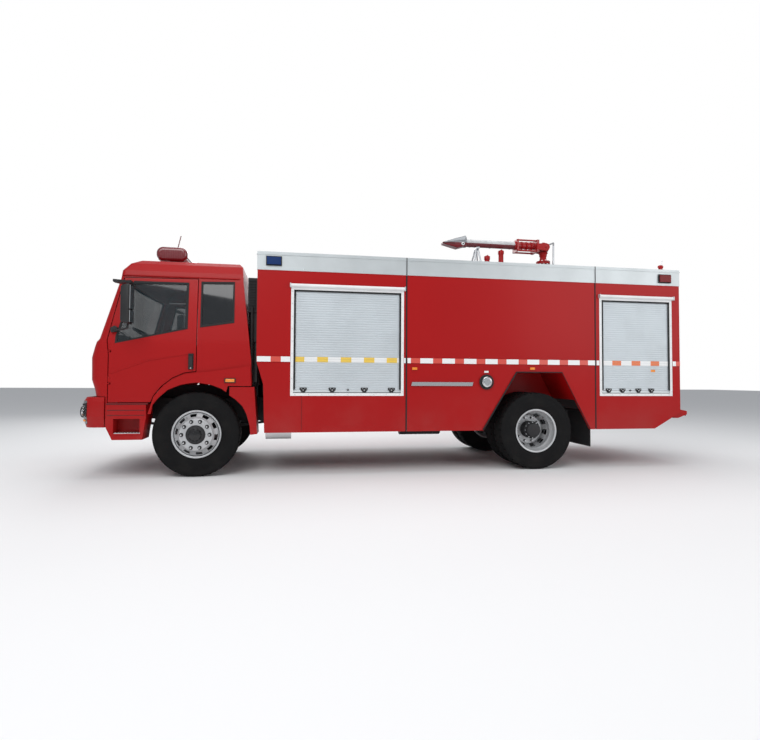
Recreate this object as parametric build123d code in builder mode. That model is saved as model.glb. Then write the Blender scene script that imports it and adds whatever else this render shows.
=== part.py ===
from build123d import *
import math
import os

# A two-axle fire rescue truck: a forward-control cab, a three-part equipment body with roller
# shutters, and a water gun on the roof. +X is forward, +Y is the driver's left, +Z is up, and the
# ground is Z = 0. Places along the truck are stations, measured back from the front axle.

# Driving dimensions, in millimetres
overall_length = 8215
front_overhang = 1365
wheelbase = 4500
half_width = 1245
rear_bumper_depth = 143

tyre_radius = 528
tyre_half_width = 140
bead_radius = 286
bead_half_width = 108
rim_flange_radius = 298
dual_offset = 167
disc_thickness = 12
stud_circle_radius = 167.5
stud_count = 10
nut_radius = 17
front_track = 2060
rear_track = 1830
running_gap = 0.08
moving_clearance = 6
kingpin_y = 850
kingpin_radius = 24
spindle_radius = 38
arm_length = 240
arm_z = 440

rail_outer_y = 430
rail_height = 280
rail_flange = 80
rail_web = 9
rail_top_z = 955
frame_front = -1120
frame_rear_inset = 107

body_front_station = 722
body_seam_1 = 2651
body_seam_2 = 5372
seam_gap = 20
body_bottom_z = 545
floor_top_z = 1000
deck_bottom_z = 2606
deck_thickness = 34
body_top_z = 2840
body_wall = 40
skirt_wall = 30

cab_wall = 48
cab_floor_z = 1170
cab_floor_thickness = 20
cab_bow = 25
door_gap = 10
arch_radius = 640
glass_set_back = 10
glass_thickness = 6

shutter_face = 36
shutter_depth = 60
shutter_proud = 3
shutter_clearance = 0.3
curtain_set_back = 20
slat_pitch = 38
slat_thickness = 10
bar_height = 62
bar_thickness = 24

gun_station = 5222
gun_pivot_z = 3400

front_axle_x = overall_length / 2 - front_overhang
axle_z = tyre_radius
body_rear_station = overall_length - front_overhang - rear_bumper_depth
frame_rear = body_rear_station - frame_rear_inset
rail_bottom_z = rail_top_z - rail_height

os.makedirs("parts", exist_ok=True)


def at(station):
    """X of a station, in millimetres behind the front axle."""
    return front_axle_x - station


def side_plane(y):
    """A plane at that Y whose sketch axes are X and Z. Extrusions from it go towards -Y."""
    return Plane.XZ.offset(-y)


def cross_plane(station):
    """A plane across the truck whose sketch axes are Y and Z. Extrusions from it go forward."""
    return Plane.YZ.offset(at(station))


def side_face(points, y, grow=0):
    """A face at that Y with its corners at those stations and heights, grown on every side."""
    with BuildSketch(side_plane(y)) as face:
        with BuildLine():
            Polyline(*[(at(s), z) for s, z in points], close=True)
        make_face()
        if grow:
            offset(amount=grow, kind=Kind.INTERSECTION, mode=Mode.REPLACE)
    return face.sketch


def cross_face(points, station):
    """A face across the truck at that station with its corners at those Y and Z."""
    with BuildSketch(cross_plane(station)) as face:
        with BuildLine():
            Polyline(*points, close=True)
        make_face()
    return face.sketch


def block(s0, s1, y0, y1, z0, z1, mode=Mode.ADD):
    """A box between two stations, two values of Y and two heights."""
    with Locations((at((s0 + s1) / 2), (y0 + y1) / 2, (z0 + z1) / 2)):
        Box(abs(s1 - s0), abs(y1 - y0), abs(z1 - z0), mode=mode)


def rod(start, end, radius, mode=Mode.ADD):
    """A round bar between two points given as station, Y and Z."""
    a = Vector(at(start[0]), start[1], start[2])
    b = Vector(at(end[0]), end[1], end[2])
    with Locations(Plane(origin=a, z_dir=b - a)):
        Cylinder(radius, (b - a).length, align=(Align.CENTER, Align.CENTER, Align.MIN), mode=mode)


def save(builder, name):
    """Labels a finished piece and writes its file."""
    builder.part.label = name
    export_step(builder.part, f"parts/{name}.step")
    print(name, len(builder.part.solids()), round(builder.part.volume / 1e6, 2))


def save_pair(left, name):
    """Writes one node with the left piece and its mirror image on the right."""
    with BuildPart() as pair:
        add(left.part)
        mirror(left.part, about=Plane.XZ)
    save(pair, name)


def save_left_and_right(left, name):
    """Writes the left piece and its mirror image as two nodes."""
    save(left, f"{name}_left")
    with BuildPart() as right:
        mirror(left.part, about=Plane.XZ)
    save(right, f"{name}_right")


# Chassis frame: two channel rails open to the inside, cross members, cab mounts and a tow bar
cross_members = (-1080, 1300, 1900, 2600, 3400, 4950, 5750, frame_rear - 40)
cab_mounts = (-1000, 560)
with BuildPart() as chassis_frame:
    with BuildSketch(cross_plane(frame_rear)):
        with Locations((rail_outer_y - rail_flange / 2, rail_top_z - rail_height / 2)):
            Rectangle(rail_flange, rail_height)
        with Locations((rail_outer_y - rail_web - rail_flange / 2, rail_top_z - rail_height / 2)):
            Rectangle(rail_flange, rail_height - 2 * rail_web, mode=Mode.SUBTRACT)
        mirror(about=Plane.YZ)
    extrude(amount=frame_rear - frame_front)
    for station in cross_members:
        inner_y = rail_outer_y - rail_web
        block(station - 35, station + 35, -inner_y, inner_y, rail_top_z - 120, rail_top_z - 40)
    for station in cab_mounts:
        for side in (-1, 1):
            mount_y = side * (rail_outer_y - rail_flange / 2)
            block(station - 40, station + 40, mount_y - 40, mount_y + 40, rail_top_z, cab_floor_z)
save(chassis_frame, "chassis_frame")

# Front axle: a dropped beam with an eye at each end for the kingpin
beam_points = ((820, 486), (620, 486), (560, 400), (0, 400), (0, 490), (500, 490), (560, 570), (820, 570))
with BuildPart() as front_axle:
    extrude(cross_face(beam_points, 50), amount=100)
    with Locations((at(0), kingpin_y, axle_z)):
        Cylinder(52, 130)
        Cylinder(kingpin_radius + running_gap, 130, mode=Mode.SUBTRACT)
    mirror(about=Plane.XZ)
save(front_axle, "front_axle")

# Steering knuckles: a fork round the axle's eye with the kingpin, a spindle and a steering arm
fork_half = 65 + moving_clearance
fork_lug = 44
with BuildPart() as knuckle:
    for z in (axle_z + fork_half + fork_lug / 2, axle_z - fork_half - fork_lug / 2):
        with Locations((at(0), kingpin_y, z)):
            Cylinder(50, fork_lug)
        block(-50, 50, kingpin_y, kingpin_y + 90, z - fork_lug / 2, z + fork_lug / 2)
    top_z = axle_z + fork_half + fork_lug
    bottom_z = axle_z - fork_half - fork_lug
    block(-50, 50, kingpin_y + 60, kingpin_y + 90, bottom_z, top_z)
    with Locations((at(0), kingpin_y, axle_z)):
        Cylinder(kingpin_radius, top_z - bottom_z)
    rod((0, kingpin_y + 80, axle_z), (0, kingpin_y + 280, axle_z), spindle_radius)
    block(0, arm_length, kingpin_y - 22, kingpin_y + 22, bottom_z, bottom_z + 30)
    with Locations((at(arm_length), kingpin_y, bottom_z + 15)):
        Cylinder(22, 30)
    rod((arm_length, kingpin_y, bottom_z), (arm_length, kingpin_y, bottom_z - 46), 12)
save_left_and_right(knuckle, "knuckle")

# Tie rod between the two arms, with an eye round each pin
eye_z = axle_z - fork_half - fork_lug - 26
with BuildPart() as tie_rod:
    rod((arm_length, 20 - kingpin_y, eye_z), (arm_length, kingpin_y - 20, eye_z), 17)
    for side in (-1, 1):
        with Locations((at(arm_length), side * kingpin_y, eye_z)):
            Cylinder(26, 30)
            Cylinder(12 + running_gap, 40, mode=Mode.SUBTRACT)
save(tie_rod, "tie_rod")

# Leaf springs, one under each rail at each axle, with their hangers and clamps
front_spring = ((-760, 626), (-760, 600), (0, 490), (760, 600), (760, 626), (0, 556))
rear_spring = ((3700, 640), (3700, 616), (4500, 602), (5300, 616), (5300, 640), (4500, 672))
spring_y = rail_outer_y - rail_flange / 2
with BuildPart() as leaf_springs:
    for points in (front_spring, rear_spring):
        extrude(side_face(points, spring_y + 38), amount=76)
        for end in (points[0], points[4]):
            block(end[0] - 30, end[0] + 30, spring_y - 38, spring_y + 38, end[1] - 26, rail_bottom_z)
save_pair(leaf_springs, "leaf_springs")

# Rear axle: a tube with the final drive in the middle, brake drums and the spindles
rear_hub_y = rear_track / 2
with BuildPart() as rear_axle:
    rod((wheelbase, -520, axle_z), (wheelbase, 520, axle_z), 74)
    rod((wheelbase - 130, 0, axle_z), (wheelbase + 150, 0, axle_z), 205)
    rod((wheelbase - 260, 0, axle_z), (wheelbase - 120, 0, axle_z), 90)
    for side in (-1, 1):
        rod((wheelbase, side * 510, axle_z), (wheelbase, side * 700, axle_z), 96)
        rod((wheelbase, side * 640, axle_z), (wheelbase, side * (rear_hub_y - 130), axle_z), 205)
        rod((wheelbase, side * 700, axle_z), (wheelbase, side * (rear_hub_y + 60), axle_z), spindle_radius)
save(rear_axle, "rear_axle")

# Driveline: the engine as a plain block, the gearbox, and the shaft back to the final drive
with BuildPart() as driveline:
    block(-620, 420, -330, 330, 590, 1130)
    block(420, 1180, -210, 210, 620, 930)
    rod((1170, 0, 740), (wheelbase - 275, 0, axle_z), 48)
    rod((wheelbase - 300, 0, axle_z), (wheelbase - 260, 0, axle_z), 56)
    for side in (-1, 1):
        block(-60, 60, side * 320, side * (rail_outer_y - rail_web), 780, 860)
save(driveline, "driveline")

# Wheels: a drop-centre rim with a disc that bulges outwards at the front and is dished at the rear
rim_profile = (
    (-118, 298), (-108, 298), (-108, 286), (-72, 286), (-48, 256), (20, 256), (60, 286),
    (108, 286), (108, 298), (118, 298), (118, 274), (66, 274), (26, 244), (-54, 244), (-78, 274), (-118, 274),
)
front_disc_profile = ((82, 276), (98, 276), (150, 214), (179, 196), (179, 90), (167, 90), (167, 190), (142, 204))
rear_disc_profile = ((-60, 262), (-44, 262), (-100, 222), (-150, 206), (-155, 90), (-167, 90), (-167, 214), (-110, 232))
tyre_profile = (
    (-98, 286), (-140, 405), (-136, 470), (-112, 528), (112, 528), (136, 470), (140, 405), (98, 286),
    (78, 286), (98, 484), (-98, 484), (-78, 286),
)


def ring(points, station, wheel_y, side):
    """Turns a profile of offsets outwards and radii round the wheel's axis."""
    corners = [(wheel_y + side * offset_y, axle_z + r) for offset_y, r in points]
    face = cross_face(corners, station)
    revolve(face, axis=Axis((at(station), 0, axle_z), (0, 1, 0)))


def nuts(station, y0, y1):
    """The ring of wheel nuts between two values of Y."""
    for i in range(stud_count):
        angle = math.radians(360 * (i + 0.5) / stud_count)
        s = station + stud_circle_radius * math.sin(angle)
        z = axle_z + stud_circle_radius * math.cos(angle)
        rod((s, y0, z), (s, y1, z), nut_radius)


def hand_holes(station, y0, y1, count, circle, radius):
    """Round holes through a disc."""
    for i in range(count):
        angle = math.radians(360 * i / count)
        s = station + circle * math.sin(angle)
        z = axle_z + circle * math.cos(angle)
        rod((s, y0, z), (s, y1, z), radius, mode=Mode.SUBTRACT)


front_wheel_y = front_track / 2
with BuildPart() as front_wheel:
    ring(rim_profile, 0, front_wheel_y, 1)
    ring(front_disc_profile, 0, front_wheel_y, 1)
    hand_holes(0, front_wheel_y + 90, front_wheel_y + 200, 10, 222, 20)
    rod((0, front_wheel_y - 60, axle_z), (0, front_wheel_y + 190, axle_z), 118)
    rod((0, front_wheel_y + 180, axle_z), (0, front_wheel_y + 214, axle_z), 74)
    nuts(0, front_wheel_y + 170, front_wheel_y + 208)
    bore_end = kingpin_y + 280 + moving_clearance
    rod((0, front_wheel_y - 61, axle_z), (0, bore_end, axle_z), spindle_radius + running_gap, Mode.SUBTRACT)
save_left_and_right(front_wheel, "front_wheel")

with BuildPart() as front_tyre:
    ring(tyre_profile, 0, front_wheel_y, 1)
save_left_and_right(front_tyre, "front_tyre")

with BuildPart() as rear_wheels:
    for side in (-1, 1):
        ring(rim_profile, wheelbase, rear_hub_y + side * dual_offset, side)
        ring(rear_disc_profile, wheelbase, rear_hub_y + side * dual_offset, side)
    hand_holes(wheelbase, rear_hub_y - 90, rear_hub_y + 90, 10, 222, 22)
    rod((wheelbase, rear_hub_y - 120, axle_z), (wheelbase, rear_hub_y + 130, axle_z), 120)
    rod((wheelbase, rear_hub_y + 120, axle_z), (wheelbase, rear_hub_y + 235, axle_z), 104)
    nuts(wheelbase, rear_hub_y + 5, rear_hub_y + 52)
    bore_end = rear_hub_y + 60 + moving_clearance
    rod((wheelbase, rear_hub_y - 121, axle_z), (wheelbase, bore_end, axle_z), spindle_radius + running_gap,
        Mode.SUBTRACT)
save_left_and_right(rear_wheels, "rear_wheels")

with BuildPart() as rear_tyres:
    for side in (-1, 1):
        ring(tyre_profile, wheelbase, rear_hub_y + side * dual_offset, side)
save_left_and_right(rear_tyres, "rear_tyres")

# Cab form at each height: front station, rear station, half width, corner radius, and how far the
# inside surface drops there as a share of the wall
cab_form = (
    (905, -1180, 667, 1215, 100, 0),
    (1085, -1213, 667, 1215, 100, 0),
    (1200, -1251, 664, 1215, 105, 0),
    (1469, -1258, 654, 1215, 110, 0),
    (1593, -1226, 639, 1215, 100, 0),
    (1660, -1205, 632, 1214, 95, 0),
    (1700, -1170, 628, 1212, 90, 0),
    (2453, -950, 544, 1150, 50, 0),
    (2555, -939, 539, 1134, 50, 0.3),
    (2654, -864, 530, 1085, 60, 0.8),
    (2712, -780, 480, 985, 60, 1),
)


def rounded_plan(z, front, rear, half, corner, bow):
    """A plan of a rounded body at one height: bowed front, round front corners, square rear."""
    with BuildSketch(Plane.XY.offset(z)) as plan:
        with BuildLine():
            cut = corner * (1 - math.sqrt(0.5))
            shoulder = front + bow
            for side in (-1, 1):
                ThreePointArc(
                    (at(shoulder), side * (half - corner)),
                    (at(shoulder + cut), side * (half - cut)),
                    (at(shoulder + corner), side * half),
                )
                Line((at(shoulder + corner), side * half), (at(rear), side * half))
            ThreePointArc((at(shoulder), corner - half), (at(front), 0), (at(shoulder), half - corner))
            Line((at(rear), -half), (at(rear), half))
        make_face()
    return plan.sketch


def cab_solid(inset, bottom_drop=0):
    """The cab's outside form drawn in by an inset, open for use as a wall, a pane or a hollow."""
    plans = []
    for i, (z, front, rear, half, corner, drop) in enumerate(cab_form):
        height = z - drop * inset - (bottom_drop if i == 0 else 0)
        plans.append(rounded_plan(height, front + inset, rear - inset, half - inset, corner - inset, cab_bow))
    return loft(plans, ruled=True)


# Outlines on the cab's side, as stations and heights
door_outline = (
    (-1025, 922), (-1025, 1500), (-1043, 1682), (-890, 2415), (-872, 2468), (0, 2478), (0, 1306),
    (-140, 1286), (-280, 1222), (-400, 1126), (-490, 1012), (-528, 922),
)
door_window = ((-757, 2408), (-125, 2413), (-129, 1841), (-941, 1653), (-931, 1744))
hinge_station = -1010
hinge_y = 1205
hinge_pin_radius = 8
hinge_heights = (1150, 1540)
hinge_tab = 12
quarter_window = ((40, 2429), (430, 2440), (433, 1936), (40, 1870))
windscreen_outline = ((-1085, 1722), (1085, 1722), (1010, 2436), (-1010, 2436))
windscreen_reach = -840
grille_outline = ((-1010, 1100), (1010, 1100), (1010, 1620), (-1010, 1620))

cab_outside = cab_solid(0)
cab_inside = cab_solid(cab_wall, 10)
pane_outside = cab_solid(glass_set_back)
pane_inside = cab_solid(glass_set_back + glass_thickness, 10)

with BuildPart() as cab_floor:
    add(cab_inside)
    block(-1400, 900, -1300, 1300, cab_floor_z, cab_floor_z + cab_floor_thickness, Mode.INTERSECT)

tunnel_top_z = cab_floor_z + 250
with BuildPart() as cab_shell:
    add(cab_outside)
    add(cab_inside, mode=Mode.SUBTRACT)
    add(cab_floor.part)
    block(-640, 420, -360, 360, cab_floor_z + cab_floor_thickness, tunnel_top_z)
    block(-600, 380, -320, 320, cab_floor_z, tunnel_top_z - 40, Mode.SUBTRACT)
    rod((0, -1300, axle_z), (0, 1300, axle_z), arch_radius, Mode.SUBTRACT)
    block(-560, 900, -1300, 1300, 400, 1130, Mode.SUBTRACT)
    block(-1500, -1040, -1300, 1300, 400, 1000, Mode.SUBTRACT)
    extrude(side_face(door_outline, 1300), amount=300, mode=Mode.SUBTRACT)
    extrude(side_face(door_outline, -1000), amount=300, mode=Mode.SUBTRACT)
    extrude(side_face(quarter_window, 1300), amount=2600, mode=Mode.SUBTRACT)
    extrude(cross_face(windscreen_outline, windscreen_reach), amount=500, mode=Mode.SUBTRACT)
    extrude(cross_face(grille_outline, -1100), amount=300, mode=Mode.SUBTRACT)
    for side in (-1, 1):
        y0 = side * (hinge_y - hinge_tab)
        y1 = side * (hinge_y + 10)
        for z in hinge_heights:
            block(hinge_station - 55, hinge_station, y0, y1, z, z + hinge_tab)
            rod((hinge_station, side * hinge_y, z), (hinge_station, side * hinge_y, z + 70), hinge_pin_radius)
save(cab_shell, "cab_shell")

# Glass of the cab, set back a little from its outside
with BuildPart() as pane_layer:
    add(pane_outside)
    add(pane_inside, mode=Mode.SUBTRACT)

with BuildPart() as windscreen:
    add(pane_layer.part)
    extrude(cross_face(windscreen_outline, windscreen_reach), amount=500, mode=Mode.INTERSECT)
save(windscreen, "windscreen")

with BuildPart() as quarter_glass:
    add(pane_layer.part)
    extrude(side_face(quarter_window, 1300), amount=300, mode=Mode.INTERSECT)
save_pair(quarter_glass, "quarter_glass")

with BuildPart() as door_glass:
    add(pane_layer.part)
    extrude(side_face(door_window, 1300), amount=300, mode=Mode.INTERSECT)
save_left_and_right(door_glass, "door_glass")

# Front panel with its grille slots, set into the front wall of the cab
with BuildPart() as front_panel:
    add(cab_solid(-6))
    add(cab_solid(cab_wall - 12, 10), mode=Mode.SUBTRACT)
    extrude(cross_face(grille_outline, -1100), amount=300, mode=Mode.INTERSECT)
    for z in (1170, 1230, 1290, 1350):
        block(-1500, -1100, -760, 760, z, z + 28, Mode.SUBTRACT)
save(front_panel, "front_panel")

# Cab doors, hinged near their front edges
with BuildPart() as door:
    add(cab_outside)
    add(cab_inside, mode=Mode.SUBTRACT)
    extrude(side_face(door_outline, 1300, -door_gap), amount=300, mode=Mode.INTERSECT)
    extrude(side_face(door_window, 1300), amount=300, mode=Mode.SUBTRACT)
    block(-97, -37, 1200, 1222, 1330, 1530)
    for z in hinge_heights:
        block(hinge_station - 80, hinge_station + 22, hinge_y - 26, 1300, z - 6, z + hinge_tab + 6, Mode.SUBTRACT)
        pin_end = (hinge_station, hinge_y, z + 70 + moving_clearance)
        rod((hinge_station, hinge_y, z), pin_end, hinge_pin_radius + running_gap, Mode.SUBTRACT)
save_left_and_right(door, "door")

# Mirrors on arms from brackets on the door
def door_side_y(z):
    """The half width of the cab's side at a height between its waist and its drip line."""
    waist, drip = cab_form[6], cab_form[7]
    return waist[3] + (drip[3] - waist[3]) * (z - waist[0]) / (drip[0] - waist[0])


mirror_y = 1440
mirror_station = -742
mirror_brackets = ((-860, -770, 2372, 2412, 1260), (-985, -935, 1785, 1815, 1250))
with BuildPart() as mirror_unit:
    for s0, s1, z0, z1, outer_y in mirror_brackets:
        points = ((door_side_y(z0), z0), (outer_y, z0), (outer_y, z1), (door_side_y(z1), z1))
        extrude(cross_face(points, s1), amount=s1 - s0)
    rod((-830, 1250, 2392), (mirror_station, mirror_y, 2392), 17)
    rod((-955, 1230, 1798), (mirror_station, mirror_y, 1830), 12)
    rod((mirror_station, mirror_y, 2400), (mirror_station, mirror_y, 1800), 12)
    with BuildSketch(Plane.XY.offset(1850)):
        with Locations((at(mirror_station), 1465)):
            RectangleRounded(126, 190, 30)
    extrude(amount=480)
save_left_and_right(mirror_unit, "mirror")

# Wheel arch trims on the cab's sides
fender_outline = (
    (-553, 790), (-490, 1000), (-400, 1112), (-280, 1208), (-140, 1272), (0, 1292), (300, 1330), (646, 1383),
    (661, 1132), (380, 1132), (360, 1058), (300, 1100), (180, 1146), (0, 1176), (-180, 1146), (-330, 1082),
    (-440, 980), (-500, 900), (-520, 790),
)
with BuildPart() as fender:
    extrude(side_face(fender_outline, half_width), amount=half_width - 1215)
save_pair(fender, "cab_fenders")

# Mudguards behind the front wheels, on arms from the rails
guard_outline = (
    (400, 1120), (700, 1120), (743, 532), (660, 521), (650, 640), (610, 780), (560, 880), (480, 960), (400, 1015),
)
with BuildPart() as front_mudguard:
    extrude(side_face(guard_outline, 1240), amount=340)
    block(640, 700, rail_outer_y, 900, 780, 840)
save_pair(front_mudguard, "front_mudguards")

# Front bumper with pockets for the lamps, and its beam to the rails
bumper_form = (
    (628, -1330, -1050, 1215, 150),
    (759, -1363, -1050, 1235, 150),
    (940, -1356, -1050, 1235, 150),
    (993, -1327, -1050, 1225, 150),
)


def bumper_solid(inset, drop=0):
    """The bumper's form drawn in by an inset."""
    plans = []
    for i, (z, front, rear, half, corner) in enumerate(bumper_form):
        height = z + (drop if i == len(bumper_form) - 1 else -drop if i == 0 else 0)
        rear_edge = rear + (10 if drop else 0)
        plans.append(rounded_plan(height, front + inset, rear_edge, half - inset, corner - inset, 40))
    return loft(plans, ruled=True)


bumper_wall = 45
lamp_outline = ((860, 700), (900, 668), (1260, 668), (1260, 950), (930, 950), (860, 900))
lamp_reach = -1245
bumper_outside = bumper_solid(0)
bumper_inside = bumper_solid(bumper_wall, 8)
lamp_front = bumper_solid(-3, 8)
lamp_back = bumper_solid(30, 10)
with BuildPart() as front_bumper:
    add(bumper_outside)
    add(bumper_inside, mode=Mode.SUBTRACT)
    for side in (-1, 1):
        extrude(cross_face([(side * y, z) for y, z in lamp_outline], lamp_reach), amount=350, mode=Mode.SUBTRACT)
    block(-1335, frame_front, -560, 560, 700, 900)
save(front_bumper, "front_bumper")

with BuildPart() as headlamp:
    add(lamp_front)
    add(lamp_back, mode=Mode.SUBTRACT)
    extrude(cross_face(lamp_outline, lamp_reach), amount=350, mode=Mode.INTERSECT)
save_pair(headlamp, "headlamps")

# Cab steps below the doors, hung from the rails
step_outline = ((-1040, 905), (-580, 905), (-578, 750), (-618, 476), (-961, 476), (-1040, 640))
with BuildPart() as step:
    extrude(side_face(step_outline, 1215), amount=300)
    block(-950, -650, 1020, 1300, 552, 730, Mode.SUBTRACT)
    block(-940, -640, 1020, 1221, 534, 552)
    block(-880, -760, rail_outer_y, 915, 690, 770)
save_pair(step, "cab_steps")

# Dashboard across the cab
dash_outline = ((-1400, 1400), (-1400, 1690), (-1100, 1712), (-930, 1640), (-900, 1500), (-1000, 1400))
column_top = (-720, 640, 1764)
column_end = (-940, 640, 1383)
column_radius = 28
with BuildPart() as dashboard:
    add(cab_inside)
    extrude(side_face(dash_outline, 1300), amount=2600, mode=Mode.INTERSECT)
    for side in (-1, 1):
        extrude(side_face(door_outline, 1300 if side > 0 else -1100, 6), amount=200, mode=Mode.SUBTRACT)
    rod(column_top, column_end, column_radius, Mode.SUBTRACT)
save(dashboard, "dashboard")

# Seats: two at the front and a bench along the rear wall
seat_y = 640
seat_width = 500
seat_front = -410
seat_back = 70
cushion_z = (1480, 1610)
bench_y = 950
with BuildPart() as seats:
    for y in (-seat_y, seat_y):
        y0 = y - seat_width / 2
        y1 = y + seat_width / 2
        block(seat_front + 40, seat_back - 40, y0 + 40, y1 - 40, cab_floor_z + cab_floor_thickness, cushion_z[0])
        block(seat_front, seat_back, y0, y1, *cushion_z)
        block(seat_back - 110, seat_back + 20, y0, y1, cushion_z[1], 2130)
        block(seat_back - 70, seat_back + 10, y - 130, y + 130, 2130, 2290)
    block(230, 540, -bench_y, bench_y, tunnel_top_z, cushion_z[1])
    block(440, 520, -bench_y, bench_y, cushion_z[1], 2150)
save(seats, "seats")

# Steering wheel on its column
wheel_plane = Plane(origin=(at(-720), 640, 1760), x_dir=(0, 1, 0), z_dir=(-0.5, 0, 0.866))
with BuildPart() as steering_wheel:
    with BuildSketch(wheel_plane):
        Circle(228)
        Circle(200, mode=Mode.SUBTRACT)
        Rectangle(420, 44)
        Circle(62)
    extrude(amount=24)
    rod(column_top, column_end, column_radius)
save(steering_wheel, "steering_wheel")

# Light bar across the cab roof with the radio aerial
bar_half_length = 780
with BuildPart() as light_bar:
    with BuildSketch(side_plane(bar_half_length)):
        with Locations((at(-417), 2868)):
            RectangleRounded(392, 186, 84)
    extrude(amount=2 * bar_half_length)
    fillet(light_bar.faces().sort_by(Axis.Y)[0].edges(), 48)
    fillet(light_bar.faces().sort_by(Axis.Y)[-1].edges(), 48)
    for side in (-1, 1):
        block(-500, -340, side * 430, side * 520, cab_form[-1][0], 2800)
    rod((-560, 0, 2900), (-465, 0, 3310), 7)
save(light_bar, "light_bar")

# Air intake on the front face of the body, behind the cab
with BuildPart() as air_intake:
    block(600, body_front_station, 740, 1120, 2080, 2519)
    block(652, body_front_station, 760, 1100, 1700, 2100)
    block(690, body_front_station, 780, 1080, 1180, 1720)
    block(690, body_front_station, 790, 880, 1000, 1200)
save(air_intake, "air_intake")

# Equipment body in three parts with a gap between them. Each is open at the top under the deck.
body_front_edge = ((body_front_station, deck_bottom_z), (body_front_station, 1446), (809, 1158), (829, 545))
arch_outline = ((4197, 1336), (4861, 1328), (5293, 528), (3709, 528))
side_opening_front = (1145, 2614, 1010, 2402)
side_opening_rear = (5435, 6580, 1010, 2402)
back_opening = (-640, 640, 1010, 2402)


def body_part(start, end, front_edge, end_bottom, openings, back=None):
    """One part of the body: walls, floor, skirts and a middle wall, with the locker openings cut."""
    profile = [*front_edge, (end - 416 if end_bottom > body_bottom_z else end, body_bottom_z)]
    if end_bottom > body_bottom_z:
        profile.append((end - 19, end_bottom))
        profile.append((end, end_bottom))
    profile.append((end, deck_bottom_z))
    inner_y = half_width - body_wall
    extrude(side_face(profile, half_width), amount=2 * half_width)
    inside = (start + body_wall + 50, end - body_wall)
    if front_edge[0][0] != body_front_station:
        inside = (start + body_wall, end - body_wall)
    block(*inside, -inner_y, inner_y, floor_top_z, deck_bottom_z + 10, Mode.SUBTRACT)
    skirt_y = half_width - skirt_wall
    block(start - 10, end + 10, -skirt_y, skirt_y, 400, rail_top_z, Mode.SUBTRACT)
    for s0, s1, z0, z1 in openings:
        block(s0, s1, -1300, 1300, z0, z1, Mode.SUBTRACT)
    if back:
        y0, y1, z0, z1 = back
        block(end - 100, end + 100, y0, y1, z0, z1, Mode.SUBTRACT)


with BuildPart() as body_front:
    end = body_seam_1 - seam_gap / 2
    body_part(body_front_station, end, body_front_edge, body_bottom_z, (side_opening_front,))
    block(900, end - body_wall + 1, -15, 15, floor_top_z - 1, deck_bottom_z)
    for side in (-1, 1):
        block(812, end - body_wall + 1, side * 14, side * 1120, 1690, 1715)
save(body_front, "body_front")

wheelhouse_wall = 30
wheelhouse_inner_y = 560
trim_strip = ((2712, 1143), (2726, 1193), (3568, 1193), (3554, 1143))
with BuildPart() as body_middle:
    start = body_seam_1 + seam_gap / 2
    end = body_seam_2 - seam_gap / 2
    body_part(start, end, ((start, deck_bottom_z), (start, body_bottom_z)), body_bottom_z, ())
    house_depth = half_width - 20 - wheelhouse_inner_y
    arch_depth = 1300 - wheelhouse_inner_y - wheelhouse_wall
    for outer_y in (half_width - 20, -wheelhouse_inner_y):
        extrude(side_face(arch_outline, outer_y, wheelhouse_wall), amount=house_depth)
    for outer_y in (1300, arch_depth - 1300):
        extrude(side_face(arch_outline, outer_y), amount=arch_depth, mode=Mode.SUBTRACT)
    skirt_y = half_width - skirt_wall
    block(start, end, -skirt_y, skirt_y, 400, rail_top_z, Mode.SUBTRACT)
    block(start, end, -half_width, half_width, 400, body_bottom_z, Mode.SUBTRACT)
    for outer_y in (half_width + 8, 2 - half_width):
        extrude(side_face(trim_strip, outer_y), amount=10)
save(body_middle, "body_middle")

with BuildPart() as body_rear:
    start = body_seam_2 + seam_gap / 2
    front_edge = ((start, deck_bottom_z), (start, body_bottom_z))
    body_part(start, body_rear_station, front_edge, 764, (side_opening_rear,), back_opening)
    for side in (-1, 1):
        block(start + body_wall, body_rear_station - body_wall, side * 700, side * 730, floor_top_z, deck_bottom_z)
save(body_rear, "body_rear")

# Coping round the top of the body with a thin lip, and the deck inside it
coping_out = 5
coping_wall = 40
coping_y = half_width + coping_out
coping_front = body_front_station - coping_out
coping_rear = body_rear_station + coping_out
with BuildPart() as body_coping:
    block(coping_front, coping_rear, -coping_y, coping_y, deck_bottom_z, body_top_z)
    block(coping_front - 6, coping_rear + 6, -coping_y - 6, coping_y + 6, 2800, 2814)
    block(coping_front + coping_wall, coping_rear - coping_wall, coping_wall - coping_y, coping_y - coping_wall,
          deck_bottom_z - 10, body_top_z + 10, Mode.SUBTRACT)
    for seam in (body_seam_1, body_seam_2):
        for side in (-1, 1):
            y0 = side * (coping_y - 4)
            block(seam - 6, seam + 6, y0, side * (coping_y + 20), deck_bottom_z - 10, body_top_z + 10, Mode.SUBTRACT)
save(body_coping, "body_coping")

deck_top_z = deck_bottom_z + deck_thickness
with BuildPart() as roof_deck:
    deck_y = coping_y - coping_wall
    block(coping_front + coping_wall, coping_rear - coping_wall, -deck_y, deck_y, deck_bottom_z, deck_top_z)
    for station in (1500, 2300, 3100):
        for side in (-1, 1):
            block(station, station + 520, side * 380, side * 900, deck_top_z, deck_top_z + 40)
save(roof_deck, "roof_deck")

# Roller shutter frames: a face round each opening with a channel behind it for the curtain
channel_wall = 10
face_depth = 12


def frame_ring(wall, a0, a1, z0, z1):
    """One shutter frame on a wall's plane, in the opening from a0 to a1 and from z0 to z1."""
    for inset, depth in ((shutter_face, face_depth), (channel_wall, shutter_depth)):
        with BuildSketch(wall.offset(-shutter_proud)) as ring_face:
            with Locations(((a0 + a1) / 2, (z0 + z1) / 2)):
                Rectangle(a1 - a0, z1 - z0)
                Rectangle(a1 - a0 - 2 * inset, z1 - z0 - 2 * inset, mode=Mode.SUBTRACT)
        extrude(ring_face.sketch, amount=depth)


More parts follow.
